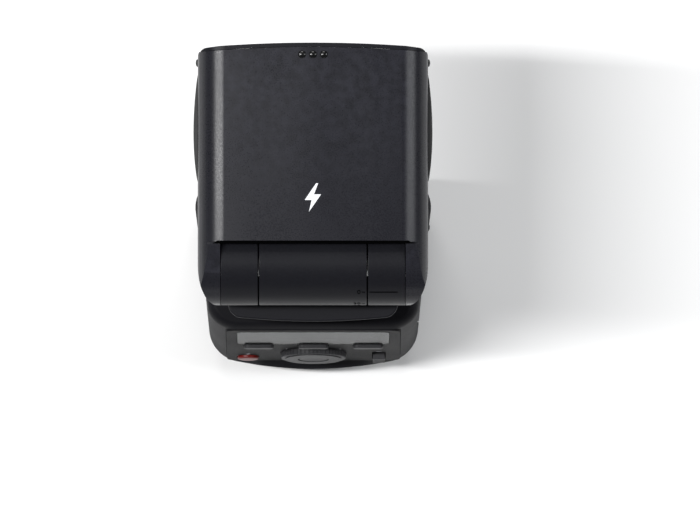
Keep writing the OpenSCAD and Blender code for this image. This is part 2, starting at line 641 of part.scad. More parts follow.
// The trough's curve, from its lower lip to its upper one.
function trough(back, depth, half) = [for (i = [-6 : 6]) let (s = i / 6)
    [back + depth * s * s, 95.5 + half * s]];
function turned(list) = [for (i = [len(list) - 1 : -1 : 0]) list[i]];
module reflector() color([0.85, 0.86, 0.88]) union() {
    along_x(-reflector_x + 0.6, reflector_x - 0.6) polygon(
        concat(trough(39.4, 11.6, 8.6), turned(trough(40.2, 10.8, 7.8))));
    both_sides() along_x(reflector_x - 0.61, reflector_x) polygon(trough(39.4, 11.6, 8.6));
}
module flash_tube() color([0.9, 0.93, 0.95, 0.5]) translate([0, 43.6, 95.5]) union() {
    rod_x(-21.6, 21.6, 1.6);
    both_sides() rod_x(21.6 - eps, 23.3, 1.1);
}
module trigger_coil() color([0.6, 0.42, 0.12]) union() {
    translate([-16, 18.5, 86]) rod_x(0, 9, 3.2);
    box([-18, 14.8, 81.8], [-5, 22, 82.7]);
}

front_shell();
rear_shell();
rear_panel();
base_plate();
swivel_collar();
body_screws();
front_window();
receiver_board();
lcd_window();
lcd_module();
key_board();
main_board();
battery_cage();
aa_cells();
battery_contacts();
main_capacitor();
booster_transformer();
door_slider();
battery_door();
door_contacts();
select_dial();
set_button();
mode_button();
wireless_button();
menu_button();
lamp_button();
power_switch();
foot_block();
shoe_foot();
shoe_contacts();
lock_lever();
lock_pin();
lock_release();
neck_base();
neck_column();
neck_rear_cover();
swivel_tube();
swivel_ring();
detent_spring();
tilt_shaft();
head_top_cover();
head_bottom_cover();
tilt_bracket();
hinge_cover_left();
hinge_cover_right();
side_grip_left();
side_grip_right();
lens_bezel();
fresnel_lens();
panel_guide();
head_screws();
catchlight_panel();
wide_panel();
zoom_rails();
zoom_motor();
lead_screw();
zoom_carriage();
reflector();
flash_tube();
trigger_coil();
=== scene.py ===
"""Looks of a compact speedlight flash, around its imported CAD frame. Shapes are in millimetres until shown."""
import json
import math

import bmesh
import bpy
from mathutils import Matrix, Vector


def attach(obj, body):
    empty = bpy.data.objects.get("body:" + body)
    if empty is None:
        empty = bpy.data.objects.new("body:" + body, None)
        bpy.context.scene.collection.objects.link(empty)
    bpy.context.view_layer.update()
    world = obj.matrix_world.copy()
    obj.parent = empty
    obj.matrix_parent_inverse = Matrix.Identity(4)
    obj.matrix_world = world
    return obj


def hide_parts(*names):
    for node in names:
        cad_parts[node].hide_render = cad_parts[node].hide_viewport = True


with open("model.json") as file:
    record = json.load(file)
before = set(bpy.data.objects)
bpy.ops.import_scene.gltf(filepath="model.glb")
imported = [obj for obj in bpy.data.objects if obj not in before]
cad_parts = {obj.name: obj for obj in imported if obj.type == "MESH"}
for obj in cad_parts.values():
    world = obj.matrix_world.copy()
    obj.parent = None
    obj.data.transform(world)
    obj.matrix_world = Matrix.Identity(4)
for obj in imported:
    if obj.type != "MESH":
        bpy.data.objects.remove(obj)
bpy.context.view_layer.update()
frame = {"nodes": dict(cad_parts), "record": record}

MM = 0.001


# ---- mesh tools, in millimetres ----
# Cutting boxes reach well past the object, so a bound such as 60 or 200 only means "all of that side".
def arc(cx, cy, r, a0, a1, n):
    """n + 1 points of an arc, in degrees."""
    return [(cx + r * math.cos(math.radians(a0 + (a1 - a0) * i / n)),
             cy + r * math.sin(math.radians(a0 + (a1 - a0) * i / n))) for i in range(n + 1)]


def tidy(points, gap=1e-4):
    """An outline with its repeated points dropped."""
    out = []
    for p in points:
        if not out or (Vector(p) - Vector(out[-1])).length > gap:
            out.append(p)
    if (Vector(out[0]) - Vector(out[-1])).length < gap:
        out.pop()
    return out


def linked(mesh):
    """A new object for a mesh."""
    piece = bpy.data.objects.new("piece", mesh)
    bpy.context.collection.objects.link(piece)
    return piece


def make(verts, faces):
    """A piece from points and faces, with its faces turned outwards."""
    mesh = bpy.data.meshes.new("piece")
    mesh.from_pydata([tuple(v) for v in verts], [], faces)
    mesh.validate()
    return face_out(linked(mesh))


def face_out(piece):
    bm = bmesh.new()
    bm.from_mesh(piece.data)
    bmesh.ops.recalc_face_normals(bm, faces=bm.faces)
    bm.to_mesh(piece.data)
    bm.free()
    return piece


def loft(rings):
    """A solid through rings of equal length, with a flat cap at each end."""
    n = len(rings[0])
    verts = [p for ring in rings for p in ring]
    faces = [(k * n + i, k * n + (i + 1) % n, (k + 1) * n + (i + 1) % n, (k + 1) * n + i)
             for k in range(len(rings) - 1) for i in range(n)]
    faces += [tuple(reversed(range(n))), tuple(range((len(rings) - 1) * n, len(rings) * n))]
    return make(verts, faces)


def place(axis, at, p):
    """An outline's point p, put at one place along an axis."""
    a, b = p
    return {"x": (at, a, b), "y": (a, at, b), "z": (a, b, at)}[axis]


def prism(points, axis, lo, hi):
    """An outline pushed along an axis: (y, z) along x, (x, z) along y, (x, y) along z."""
    points = tidy(points)
    return loft([[place(axis, lo, p) for p in points], [place(axis, hi, p) for p in points]])


def turned(profile, axis, centre, n=96):
    """A solid of revolution from (radius, distance along the axis) pairs."""
    along = centre["xyz".index(axis)]
    u, v = (c for k, c in zip("xyz", centre) if k != axis)
    rings = []
    for r, t in profile:
        ring = [(r * math.cos(2 * math.pi * i / n), r * math.sin(2 * math.pi * i / n)) for i in range(n)]
        rings.append([place(axis, t + along, (p[0] + u, p[1] + v)) for p in ring])
    piece = loft(rings)
    bm = bmesh.new()
    bm.from_mesh(piece.data)
    bmesh.ops.remove_doubles(bm, verts=bm.verts, dist=1e-4)
    bm.to_mesh(piece.data)
    bm.free()
    return face_out(piece)


def rod(axis, centre, r, lo, hi, n=96):
    """A plain cylinder."""
    return turned([(r, lo), (r, hi)], axis, centre, n)


def box(lo, hi):
    """A block between two corners."""
    return prism([(lo[0], lo[1]), (hi[0], lo[1]), (hi[0], hi[1]), (lo[0], hi[1])], "z", lo[2], hi[2])


def drop(piece):
    mesh = piece.data
    bpy.data.objects.remove(piece)
    if mesh.users == 0:
        bpy.data.meshes.remove(mesh)


def freeze(piece):
    """Applies the piece's modifiers."""
    shown = piece.evaluated_get(bpy.context.evaluated_depsgraph_get())
    mesh = bpy.data.meshes.new_from_object(shown)
    old = piece.data
    piece.modifiers.clear()
    piece.data = mesh
    bpy.data.meshes.remove(old)


def combine(piece, others, how):
    """Cuts, adds or keeps other solids, which are used up."""
    for other in others:
        step = piece.modifiers.new("combine", "BOOLEAN")
        step.object, step.operation, step.solver = other, how, "EXACT"
        freeze(piece)
        drop(other)
    return piece


def cut(piece, *others):
    return combine(piece, others, "DIFFERENCE")


def add(piece, *others):
    return combine(piece, others, "UNION")


def keep(piece, *others):
    return combine(piece, others, "INTERSECT")


def copy(piece):
    new = bpy.data.objects.new(piece.name, piece.data.copy())
    bpy.context.collection.objects.link(new)
    return new


def flipped(piece):
    """The same piece, mirrored left to right."""
    piece.data.transform(Matrix.Scale(-1, 4, (1, 0, 0)))
    piece.data.flip_normals()
    return piece


def moved(piece, matrix):
    piece.data.transform(matrix)
    return piece


def merged(pieces):
    """Several separate solids as one piece."""
    bm = bmesh.new()
    for p in pieces:
        bm.from_mesh(p.data)
    mesh = bpy.data.meshes.new("piece")
    bm.to_mesh(mesh)
    bm.free()
    for p in pieces:
        drop(p)
    return linked(mesh)


def soften(piece, width, steps, angle):
    """Merges slivers, then rounds the sharp edges, as a mould does."""
    near = 2e-3
    bm = bmesh.new()
    bm.from_mesh(piece.data)
    bmesh.ops.remove_doubles(bm, verts=bm.verts, dist=near)
    bmesh.ops.dissolve_degenerate(bm, edges=bm.edges, dist=near)
    bmesh.ops.dissolve_limit(bm, angle_limit=math.radians(0.6), verts=bm.verts, edges=bm.edges)
    bm.to_mesh(piece.data)
    bm.free()
    step = piece.modifiers.new("round", "BEVEL")
    step.width, step.segments, step.limit_method = width, steps, "ANGLE"
    step.angle_limit, step.use_clamp_overlap = math.radians(angle), True
    step.miter_outer = "MITER_ARC"
    freeze(piece)
    return piece


def smooth(piece, angle):
    """Smooth shading, with edges sharper than the angle left crisp."""
    piece.data.polygons.foreach_set("use_smooth", [True] * len(piece.data.polygons))
    piece.data.set_sharp_from_angle(angle=math.radians(angle))
    step = piece.modifiers.new("even", "WEIGHTED_NORMAL")
    step.keep_sharp, step.weight = True, 60
    freeze(piece)
    return piece


BODY_OF = {node: body for body, nodes in frame["record"]["behaviour"]["bodies"].items() for node in nodes}
SLOT_OF = {s["node"]: s["material_slot"] for s in frame["record"]["subparts"]}


def show(piece, name, material, body, slot, *nodes):
    """Names a finished piece, brings it to metres, and hands it to its body."""
    piece.name = piece.data.name = name
    moved(piece, Matrix.Scale(MM, 4))
    piece.data.materials.clear()
    piece.data.materials.append(material)
    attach(piece, body)
    if nodes:
        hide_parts(*nodes)
    return piece


def stand_for(node, piece, material, angle):
    """A finished piece takes one CAD node's place."""
    return show(smooth(piece, angle), node + "_v", material, BODY_OF[node], SLOT_OF[node], node)


def from_cad(node):
    """A working copy of a CAD node, in millimetres."""
    piece = copy(frame["nodes"][node])
    piece.modifiers.clear()
    return moved(piece, Matrix.Scale(1 / MM, 4))


def polish(node, material, width):
    """A CAD node with its edges rounded."""
    return stand_for(node, soften(from_cad(node), width, 2, 40), material, 38)


def shifted(points, dx, dz):
    return [(x + dx, z + dz) for x, z in points]


def round_corners(points, radii, n=8):
    """An outline with each corner rounded by its own radius."""
    out, count = [], len(points)
    for i, (p, r) in enumerate(zip(points, radii)):
        here, a, b = Vector(p), Vector(points[i - 1]), Vector(points[(i + 1) % count])
        if r <= 0:
            out.append(p)
            continue
        u, v = (a - here).normalized(), (b - here).normalized()
        half = math.acos(max(-1, min(1, u.dot(v)))) / 2
        reach = r / math.tan(half)
        start, end = here + u * reach, here + v * reach
        centre = here + (u + v).normalized() * (r / math.sin(half))
        a0 = math.atan2(*(start - centre).yx)
        turn = (math.atan2(*(end - centre).yx) - a0 + math.pi) % (2 * math.pi) - math.pi
        out += [tuple(centre + r * Vector((math.cos(a0 + turn * k / n), math.sin(a0 + turn * k / n))))
                for k in range(n + 1)]
    return out


# ---- materials ----
class Nodes:
    """A short way to write one material's nodes."""

    def __init__(self, name):
        self.material = bpy.data.materials.new(name)
        self.material.use_nodes = True
        self.tree = self.material.node_tree
        self.shader = self.tree.nodes["Principled BSDF"]
        self.coord = self.tree.nodes.new("ShaderNodeTexCoord").outputs["Object"]

    def add(self, kind, values=None, links=None, **props):
        node = self.tree.nodes.new("ShaderNode" + kind)
        for key, value in props.items():
            setattr(node, key, value)
        for key, value in (values or {}).items():
            node.inputs[key].default_value = value
        for key, value in (links or {}).items():
            self.tree.links.new(value, node.inputs[key])
        return node

    def noise(self, scale, detail=3, rough=0.5, at=None):
        return self.add("TexNoise", {"Scale": scale, "Detail": detail, "Roughness": rough},
                        {"Vector": at or self.coord}).outputs["Fac"]

    def ramp(self, value, low, high, out_low=0.0, out_high=1.0):
        return self.add("MapRange", {"From Min": low, "From Max": high, "To Min": out_low, "To Max": out_high},
                        {"Value": value}).outputs["Result"]

    def mix(self, factor, a, b):
        """Two colours by a factor; sockets 0, 6 and 7 are a colour Mix node's factor, A and B."""
        node = self.add("Mix", data_type="RGBA")
        for socket, value in ((0, factor), (6, a), (7, b)):
            if isinstance(value, (int, float)):
                node.inputs[socket].default_value = value
            elif isinstance(value, tuple):
                node.inputs[socket].default_value = (*value, 1) if len(value) == 3 else value
            else:
                self.tree.links.new(value, node.inputs[socket])
        return node.outputs[2]

    def math(self, operation, a, b):
        node = self.add("Math", operation=operation)
        for socket, value in enumerate((a, b)):
            if isinstance(value, (int, float)):
                node.inputs[socket].default_value = value
            else:
                self.tree.links.new(value, node.inputs[socket])
        return node.outputs[0]

    def bump(self, height, strength, distance):
        node = self.add("Bump", {"Strength": strength, "Distance": distance}, {"Height": height})
        return node.outputs["Normal"]

    def worn_edge(self):
        """Near one on outer edges, broken up by noise."""
        edge = self.add("NewGeometry").outputs["Pointiness"]
        return self.math("MULTIPLY", self.ramp(edge, 0.52, 0.6), self.ramp(self.noise(420, 4), 0.35, 0.65))

    def to_shader(self, **inputs):
        """Links a node's output, and sets a plain value on the shader's own socket."""
        for key, value in inputs.items():
            socket = self.shader.inputs[key.replace("_", " ")]
            if hasattr(value, "node"):
                self.tree.links.new(value, socket)
            else:
                socket.default_value = value
        return self.material


def shade(color, factor):
    return tuple(min(1.0, c * factor) for c in color)


def plastic(name, color, rough=0.45, spread=0.06, grain=2600, depth=0.00003, strength=0.35, wear=0.35, coat=0.0,
            specular=0.3):
    """Moulded plastic: an even fine grain, faint handling marks, and lighter rubbed edges."""
    n = Nodes(name)
    fine = n.noise(grain, 2, 0.6)
    patch = n.noise(38, 4, 0.55)
    tone = n.mix(n.ramp(patch, 0.35, 0.65), shade(color, 0.97), shade(color, 1.04))
    speck = n.mix(n.ramp(fine, 0.3, 0.75, 0, 0.35), tone, shade(color, 1.9))
    rubbed = n.mix(n.math("MULTIPLY", n.worn_edge(), wear), speck, shade(color, 3.2))
    even = n.math("ADD", n.ramp(patch, 0.3, 0.7, rough - spread / 2, rough + spread / 2),
                  n.ramp(fine, 0.3, 0.7, -0.05, 0.05))
    return n.to_shader(Base_Color=rubbed, Roughness=even, Normal=n.bump(fine, strength, depth),
                       Specular_IOR_Level=specular, Coat_Weight=coat, Coat_Roughness=0.12)


def metal(name, color, rough=0.3, across="x", streak=900, wear=0.4):
    """Machined or plated metal, with fine tool lines along one axis."""
    n = Nodes(name)
    scale = {"x": (0.05, 1, 1), "y": (1, 0.05, 1), "z": (1, 1, 0.05), "none": (1, 1, 1)}[across]
    stretched = n.add("Mapping", {"Scale": scale}, {"Vector": n.coord}).outputs["Vector"]
    lines = n.noise(streak, 5, 0.65, stretched)
    patch = n.noise(90, 4)
    tone = n.mix(n.ramp(patch, 0.3, 0.7), shade(color, 0.82), shade(color, 1.05))
    bright = n.mix(n.math("MULTIPLY", n.worn_edge(), wear), tone, shade(color, 1.35))
    even = n.math("ADD", n.ramp(patch, 0.3, 0.7, rough - 0.06, rough + 0.08),
                  n.ramp(lines, 0.3, 0.7, -0.08, 0.08))
    return n.to_shader(Base_Color=bright, Roughness=even, Metallic=1.0, Normal=n.bump(lines, 0.25, 0.00002))


def clear(name, color, rough=0.06, transmission=0.9, ior=1.49, specular=0.5, uneven=0.05, ripple=0.05):
    """Clear or tinted plastic and glass, with slightly uneven gloss."""
    n = Nodes(name)
    patch = n.noise(120, 4)
    return n.to_shader(Base_Color=n.mix(n.ramp(patch, 0.3, 0.7), shade(color, 0.95), color),
                       Roughness=n.ramp(patch, 0.3, 0.7, rough, rough + uneven),
                       Transmission_Weight=transmission, IOR=ior, Specular_IOR_Level=specular,
                       Normal=n.bump(n.noise(900, 2), ripple, 0.00002))


def rubber(name, color, rough=0.62):
    """Matte rubber with a coarse grain and a little dust."""
    n = Nodes(name)
    fine = n.noise(1800, 3, 0.7)
    dust = n.noise(150, 5, 0.7)
    tone = n.mix(n.ramp(dust, 0.5, 0.75, 0, 0.3), color, shade(color, 3.0))
    return n.to_shader(Base_Color=tone, Roughness=n.ramp(fine, 0.3, 0.7, rough - 0.08, rough + 0.1),
                       Sheen_Weight=0.15, Normal=n.bump(fine, 0.4, 0.00005))


def board(name):
    """Green solder mask with faint traces."""
    n = Nodes(name)
    cells = n.add("TexBrick", {"Scale": 300.0, "Mortar Size": 0.03}, {"Vector": n.coord}).outputs["Fac"]
    tone = n.mix(cells, (0.012, 0.07, 0.03), (0.02, 0.12, 0.05))
    return n.to_shader(Base_Color=tone, Roughness=n.ramp(n.noise(200), 0.3, 0.7, 0.3, 0.42),
                       Normal=n.bump(cells, 0.3, 0.00003))


CASING = plastic("casing", (0.0085, 0.0086, 0.0115), rough=0.3, specular=0.2)
CASING_ROUND = plastic("casing_round", (0.0068, 0.0069, 0.009), rough=0.4, specular=0.11, wear=0.0)
# A darker, more matte copy of the casing plastic for the head's lower cover, the neck and the body: its darker
# colour is painted shade on these lower and side parts, below the lit top.
CASING_SHADED = plastic("casing_dark", (0.0055, 0.0055, 0.007), rough=0.56, specular=0.07)
# Near-black without gloss: painted shadow along the top cover's rear edge, and the colour of the tilt figures
# and the index line.
PAINTED_SHADOW_AND_MARK_BLACK = plastic("painted_shadow_and_mark_black", (0.0008, 0.0008, 0.0009), rough=0.6, depth=0.00001, strength=0.1, wear=0.0,
               specular=0.0)
PANEL = plastic("panel", (0.007, 0.007, 0.0078), rough=0.5, depth=0.00001, strength=0.15, specular=0.03)
DOOR = plastic("door_plastic", (0.009, 0.009, 0.011), rough=0.5, specular=0.09)
BUTTON = plastic("button", (0.024, 0.024, 0.026), rough=0.45, depth=0.00001, strength=0.2, specular=0.12)
GLOSS_BLACK = plastic("gloss_black", (0.002, 0.002, 0.0022), rough=0.2, spread=0.05, depth=0.000005,
                      strength=0.1, wear=0.0, specular=0.35)
RUBBER = rubber("grip_rubber", (0.016, 0.016, 0.017))
PRINT = plastic("print_white", (0.62, 0.63, 0.66), rough=0.5, depth=0.00001, strength=0.15, wear=0.1)
PRINT_GREY = plastic("print_grey", (0.2, 0.2, 0.22), rough=0.5, depth=0.00001, strength=0.15, wear=0.1)
STEEL = metal("steel", (0.56, 0.57, 0.58))
SHOE = metal("shoe_metal", (0.6, 0.6, 0.61), rough=0.28, across="y")
GOLD = metal("gold_contact", (0.83, 0.62, 0.27), rough=0.22, across="none")
CELL = metal("cell_wrap", (0.45, 0.46, 0.44), rough=0.32, across="x")
CAPACITOR = plastic("capacitor_sleeve", (0.03, 0.045, 0.12), rough=0.3, coat=0.4)
COPPER = metal("copper_wire", (0.62, 0.33, 0.13), rough=0.35, across="z", streak=2500)
INNER = plastic("inner_plastic", (0.02, 0.02, 0.022), rough=0.5)
CARD = plastic("white_card", (0.78, 0.78, 0.76), rough=0.55, wear=0.05)
MIRROR = metal("reflector_foil", (0.86, 0.87, 0.89), rough=0.08, across="x", wear=0.1)
LENS = clear("lens_plastic", (0.93, 0.95, 0.96))
DIFFUSER = clear("diffuser_plastic", (0.9, 0.92, 0.93), rough=0.25, transmission=0.75)
TUBE = clear("quartz", (0.95, 0.97, 0.98), rough=0.02)
WINDOW = clear("red_window", (0.045, 0.0008, 0.0015), rough=0.05, transmission=0.08, specular=0.16)
LAMP = clear("lamp_red", (0.16, 0.008, 0.006), rough=0.3, transmission=0.3, specular=0.1)
LCD_COVER = clear("lcd_cover", (0.3, 0.32, 0.32), rough=0.05, transmission=0.95, ior=1.06, specular=0.3,
                  uneven=0.01, ripple=0.005)
LCD = plastic("lcd_panel", (0.02, 0.024, 0.021), rough=0.6, grain=14000, depth=0.000003, strength=0.1, wear=0.0,
              specular=0.02)
BOARD = board("board_green")
BOARD_DARK = plastic("board_black", (0.006, 0.007, 0.006), rough=0.4, wear=0.0)


# ---- head ----
HALF, TOP, CROWN, LOW, FRONT, BOW = 32.3, 115.0, 0.8, 80.0, 58.0, 1.4
TILT_Y, TILT_Z, BARREL_R, BARREL_MID, BARREL_HALF = -3.6, 100.0, 12.0, 15.1, 26.0
PART_Z, COVER_BACK, HEAD_BACK, ARM_STEP, WALL = 93.0, 2.2, 9.5, 1.6, 1.6
HEAD_SCREWS = [(x, y) for x in (-20, 20) for y in (16, 48)]


def both(points):
    """A right-hand outline, closed with its mirror image."""
    return points + [(-x, y) for x, y in reversed(points)]


def hull(points):
    """The convex outline round some points."""
    def side(row):
        out = []
        for p in row:
            while len(out) > 1 and ((out[-1][0] - out[-2][0]) * (p[1] - out[-2][1])
                                    - (out[-1][1] - out[-2][1]) * (p[0] - out[-2][0])) <= 1e-9:
                out.pop()
            out.append(p)
        return out[:-1]
    row = sorted(set(points))
    return side(row) + side(row[::-1])


def head_section(inset, n=14):
    """The head seen from the front: round corners, and a slightly crowned top."""
    half, top, low = HALF - inset, TOP - CROWN - inset, LOW + inset
    lower_r, upper_r = 5.5, 7.5
    flat = half - upper_r
    right = (arc(half - lower_r, low + lower_r, lower_r, -90, 0, n)
             + arc(half - upper_r, top - upper_r, upper_r, 0, 90, n)
             + [(flat * (1 - i / 6), top) for i in range(1, 7)])
    return [(x, z + (CROWN * (1 - (x / half) ** 2) if z > 100 else 0)) for x, z in both(right)]


def head_plan(inset, n=16):
    """The head seen from above: oval ends to its two arms, and a bowed front."""
    half, back = HALF - inset, TILT_Y - BARREL_R + inset
    tip_wide, tip_long, nose_r = 5.5, 11.5, 2.6
    tip = [(half - tip_wide + tip_wide * x, back + tip_long + tip_long * y) for x, y in arc(0, 0, 1, -90, 0, n)]
    nose = [(x, FRONT - BOW * (x / half) ** 2) for x in ((half - 3) * (1 - i / 10) for i in range(1, 11))]
    return both(tip + arc(half - nose_r, FRONT - BOW - nose_r, nose_r, 0, 80, 8) + nose)


def ahead_of(back, n=32):
    """Everything ahead of a bowed line set back from the front."""
    line = [(x, FRONT - back - BOW * (x / HALF) ** 2) for x in (40 - 80 * i / n for i in range(n + 1))]
    return prism([(40, 90)] + line + [(-40, 90)], "z", 0, 200)


def head_solid(inset):
    """The whole head, with its two arms beside the barrel."""
    side = [(HEAD_BACK + inset, LOW - 5), (70, LOW - 5), (70, TOP + 5), (COVER_BACK + inset, TOP + 5),
            (COVER_BACK + inset, TILT_Z + 4), (HEAD_BACK + inset, TILT_Z)]
    arm = hull(arc(TILT_Y, TILT_Z, BARREL_R - inset, 0, 360, 120)
               + [(HEAD_BACK, LOW + inset), (14, LOW + inset), (14, TOP - ARM_STEP - inset),
                  (COVER_BACK, TOP - ARM_STEP - inset)])
    solid = prism(side, "x", -45, 45)
    add(solid, prism(arm, "x", BARREL_HALF + inset, 44), prism(arm, "x", -44, -BARREL_HALF - inset))
    keep(solid, prism(head_section(inset), "y", -30, 69))
    keep(solid, prism(head_plan(inset), "z", 0, 200))
    return solid


def arm_room():
    """The space inside the two arms."""
    arm = hull(arc(TILT_Y, TILT_Z, BARREL_R - WALL, 0, 360, 120)
               + [(12, LOW + WALL), (12, TOP - ARM_STEP - WALL), (COVER_BACK, TOP - ARM_STEP - WALL),
                  (HEAD_BACK, LOW + WALL)])
    room = merged([prism(arm, "x", BARREL_HALF - 1, 44), prism(arm, "x", -44, 1 - BARREL_HALF)])
    keep(room, prism(head_section(WALL), "y", -30, 69))
    keep(room, prism(head_plan(WALL), "z", 0, 200))
    return room


def head_shell():
    """The hollow head, open at its front, with room for the barrel and a step along its rear edge."""
    shell = head_solid(0)
    inner = head_solid(WALL)
    keep(inner, box((-60, -40, 0), (60, FRONT - 6.8, 200)))
    cut(shell, inner, prism(head_section(WALL), "y", FRONT - 6.9, 90), arm_room(),
        rod("x", (0, TILT_Y, TILT_Z), BARREL_R + 0.6, -BARREL_HALF, BARREL_HALF), ahead_of(1.25),
        box((-30.5, COVER_BACK - 0.65, TOP - ARM_STEP - 0.9), (30.5, COVER_BACK + 0.01, TOP)))
    return shell


def rear_wall():
    """The wall behind the barrel, which belongs to the bottom cover."""
    return box((-25.4, 7, PART_Z - 1), (25.4, HEAD_BACK + WALL + 0.1, TILT_Z + 2))


def build_head_covers():
    """The head's two covers, with wells for the screws, and a near-black strip sunk along the top's rear edge,
    which paints the shadow in the gap over the barrel.
    """
    shell = head_shell()
    upper, lower = copy(shell), shell
    cut(upper, box((-60, -60, 0), (60, 100, PART_Z + 0.02)), rear_wall())
    keep(lower, add(box((-60, -60, 0), (60, 100, PART_Z - 0.02)), rear_wall()))
    for x, y in HEAD_SCREWS:
        cut(lower, rod("z", (x, y, 0), 1.7, 70, LOW + 1.3, 48))
    # A near-black strip sunk into the top cover's rear edge: painted shadow of the gap between the cover and
    # the barrel.
    gap_shadow_back, gap_shadow_wide, gap_shadow_deep = COVER_BACK - 0.65, 1.0, 0.5
    cut(upper, box((-28.4, gap_shadow_back - 1, TOP - gap_shadow_deep), (28.4, gap_shadow_back + gap_shadow_wide, TOP + 1)))
    outline = [(-28.3, gap_shadow_back + 0.2), (28.3, gap_shadow_back + 0.2), (26.8, gap_shadow_back + gap_shadow_wide),
               (-26.8, gap_shadow_back + gap_shadow_wide)]
    gap_shadow = prism(round_corners(outline, [0.1, 0.1, 0.4, 0.4]), "z", TOP - gap_shadow_deep - 0.3,
                 TOP - gap_shadow_deep + 0.12)
    show(smooth(gap_shadow, 40), "rear_edge_painted_shadow", PAINTED_SHADOW_AND_MARK_BLACK, "head", "casing_dark")
    stand_for("head_top_cover", soften(upper, 0.32, 3, 33), CASING, 33)
    stand_for("head_bottom_cover", soften(lower, 0.32, 3, 33), CASING_SHADED, 33)


def knob(axis, at, out):
    """A small domed stud, standing out of the casing along an axis."""
    r, rise, dome = 1.05, 0.28, 0.42
    curve = [(r * math.cos(a), rise + dome * math.sin(a)) for a in (math.radians(15 * i) for i in range(1, 6))]
    profile = [(0, -0.5), (r, -0.5), (r, rise)] + curve + [(0, rise + dome)]
    return turned([(q, out * t) for q, t in profile], axis, at, 40)


def build_adapter_studs():
    """Three studs on top and three on each side, near the front."""
    pitch, sink = 3.05, 0.08
    studs = [knob("z", (i * pitch, 54.7, TOP - sink), 1) for i in (-1, 0, 1)]
    for side in (1, -1):
        studs += [knob("x", (side * (HALF - sink), 52.4, 99 + i * pitch), side) for i in (-1, 0, 1)]
    show(smooth(merged(studs), 50), "adapter_studs", GLOSS_BLACK, "head", "casing_dark")


def build_bolt_mark():
    """A plain lightning bolt, printed on the top."""
    bolt = [(0.9, 4.0), (-2.3, -0.7), (-0.35, -0.7), (-1.1, -4.0), (2.3, 0.9), (0.3, 0.9), (1.5, 4.0)]
    mark = prism([(x, 14.6 + y) for x, y in bolt], "z", TOP - 0.03, TOP + 0.02)
    show(smooth(mark, 30), "bolt_mark", PRINT, "head", "casing_dark")


def build_bezel():
    """The frame round the lens, with the slot for the two panels above it."""
    inset = 0.25
    ring = prism(head_section(inset), "y", FRONT - 5, FRONT + 1)
    back = box((-60, 0, 0), (60, 85, 200))
    cut(back, ahead_of(1.15))
    cut(ring, back)
    add(ring, prism(head_section(WALL + 0.12), "y", FRONT - 4.6, FRONT - 1.9))
    keep(ring, prism(head_plan(inset), "z", 0, 200))
    window = both(arc(24.6, 86.4, 3, -90, 0, 8) + arc(24.6, 103.9, 3, 0, 90, 8))
    cut(ring, ahead_of(0), prism(window, "y", 0, 90), box((-22.6, 0, 108.4), (22.6, 90, 111)))
    stand_for("lens_bezel", soften(ring, 0.36, 4, 35), CASING_ROUND, 35)


def build_lens():
    """A bowed pane, with level prism ribs moulded into its back."""
    low, high, ribs, columns = 83.5, 106.8, 26, 28
    half, corner_r, thick, rib = 27.5, 3, 2.2, 0.35
    pitch = (high - low) / ribs
    middle = (low + high) / 2
    profile = []
    for i in range(ribs):
        z = low + i * pitch
        if z + 0.5 * pitch > middle:
            profile += [(thick, z + 0.02), (thick - rib, z + 0.93 * pitch)]
        else:
            profile += [(thick - rib, z + 0.07 * pitch), (thick, z + pitch - 0.02)]
    rings = []
    for k in range(columns + 1):
        x = -half + 2 * half * k / columns
        bow = BOW * (x / 32) ** 2
        corner = max(0.0, abs(x) - (half - corner_r))
        trim = corner_r - math.sqrt(max(0.0, corner_r ** 2 - corner ** 2))
        ring = [(x, FRONT - d - bow, min(max(z, low + trim), high - trim)) for d, z in profile]
        front = [(x, FRONT - 0.35 - bow, min(max(z, low + trim), high - trim))
                 for z in (high - (high - low) * j / 12 for j in range(13))]
        rings.append(ring + front)
    stand_for("fresnel_lens", loft(rings), LENS, 28)


def build_grips():
    """A bowed rubber pad on each side, with six grooves."""
    foot, start, length, bulge, steps, grooves = HALF + 0.02, 19, 30, 1.2, 28, 6
    outline = [(foot + bulge * math.sin(math.pi * (i / steps) ** 0.9) ** 0.8, start + length * i / steps)
               for i in range(1, steps)]
    for side, node in ((1, "side_grip_right"), (-1, "side_grip_left")):
        pad = prism([(foot, start)] + outline + [(foot, start + length)], "z", 85, 106)
        for k in range(grooves):
            z = 88 + 3 * k
            cut(pad, box((HALF + 0.55, start + 3, z - 0.3), (HALF + 4, start + length - 3, z + 0.3)))
        soften(pad, 0.22, 2, 35)
        stand_for(node, pad if side > 0 else flipped(pad), RUBBER, 35)


build_head_covers()
build_adapter_studs()
build_bolt_mark()
build_bezel()
build_lens()
build_grips()


# ---- hinge and neck ----
DECK = 70.0
NECK_LOW, COLLAR_R, TUBE_R = DECK + 1.7, 17.2, 9.0
INDEX_ANGLE = 43.8


def figures(text, size, depth):
    """Plain numerals as a flat solid centred on the XY plane, ending at x = 0."""
    curve = bpy.data.curves.new("figures", "FONT")
    curve.body, curve.size, curve.extrude, curve.resolution_u = text, size, depth / 2, 4
    curve.align_x, curve.align_y = "RIGHT", "CENTER"
    holder = bpy.data.objects.new("figures", curve)
    bpy.context.collection.objects.link(holder)
    bpy.context.view_layer.update()
    mesh = bpy.data.meshes.new_from_object(holder.evaluated_get(bpy.context.evaluated_depsgraph_get()))
    bpy.data.objects.remove(holder)
    bpy.data.curves.remove(curve)
    bm = bmesh.new()
    bm.from_mesh(mesh)
    bmesh.ops.remove_doubles(bm, verts=bm.verts, dist=1e-4)
    bmesh.ops.recalc_face_normals(bm, faces=bm.faces)
    bm.to_mesh(mesh)
    bm.free()
    return linked(mesh)


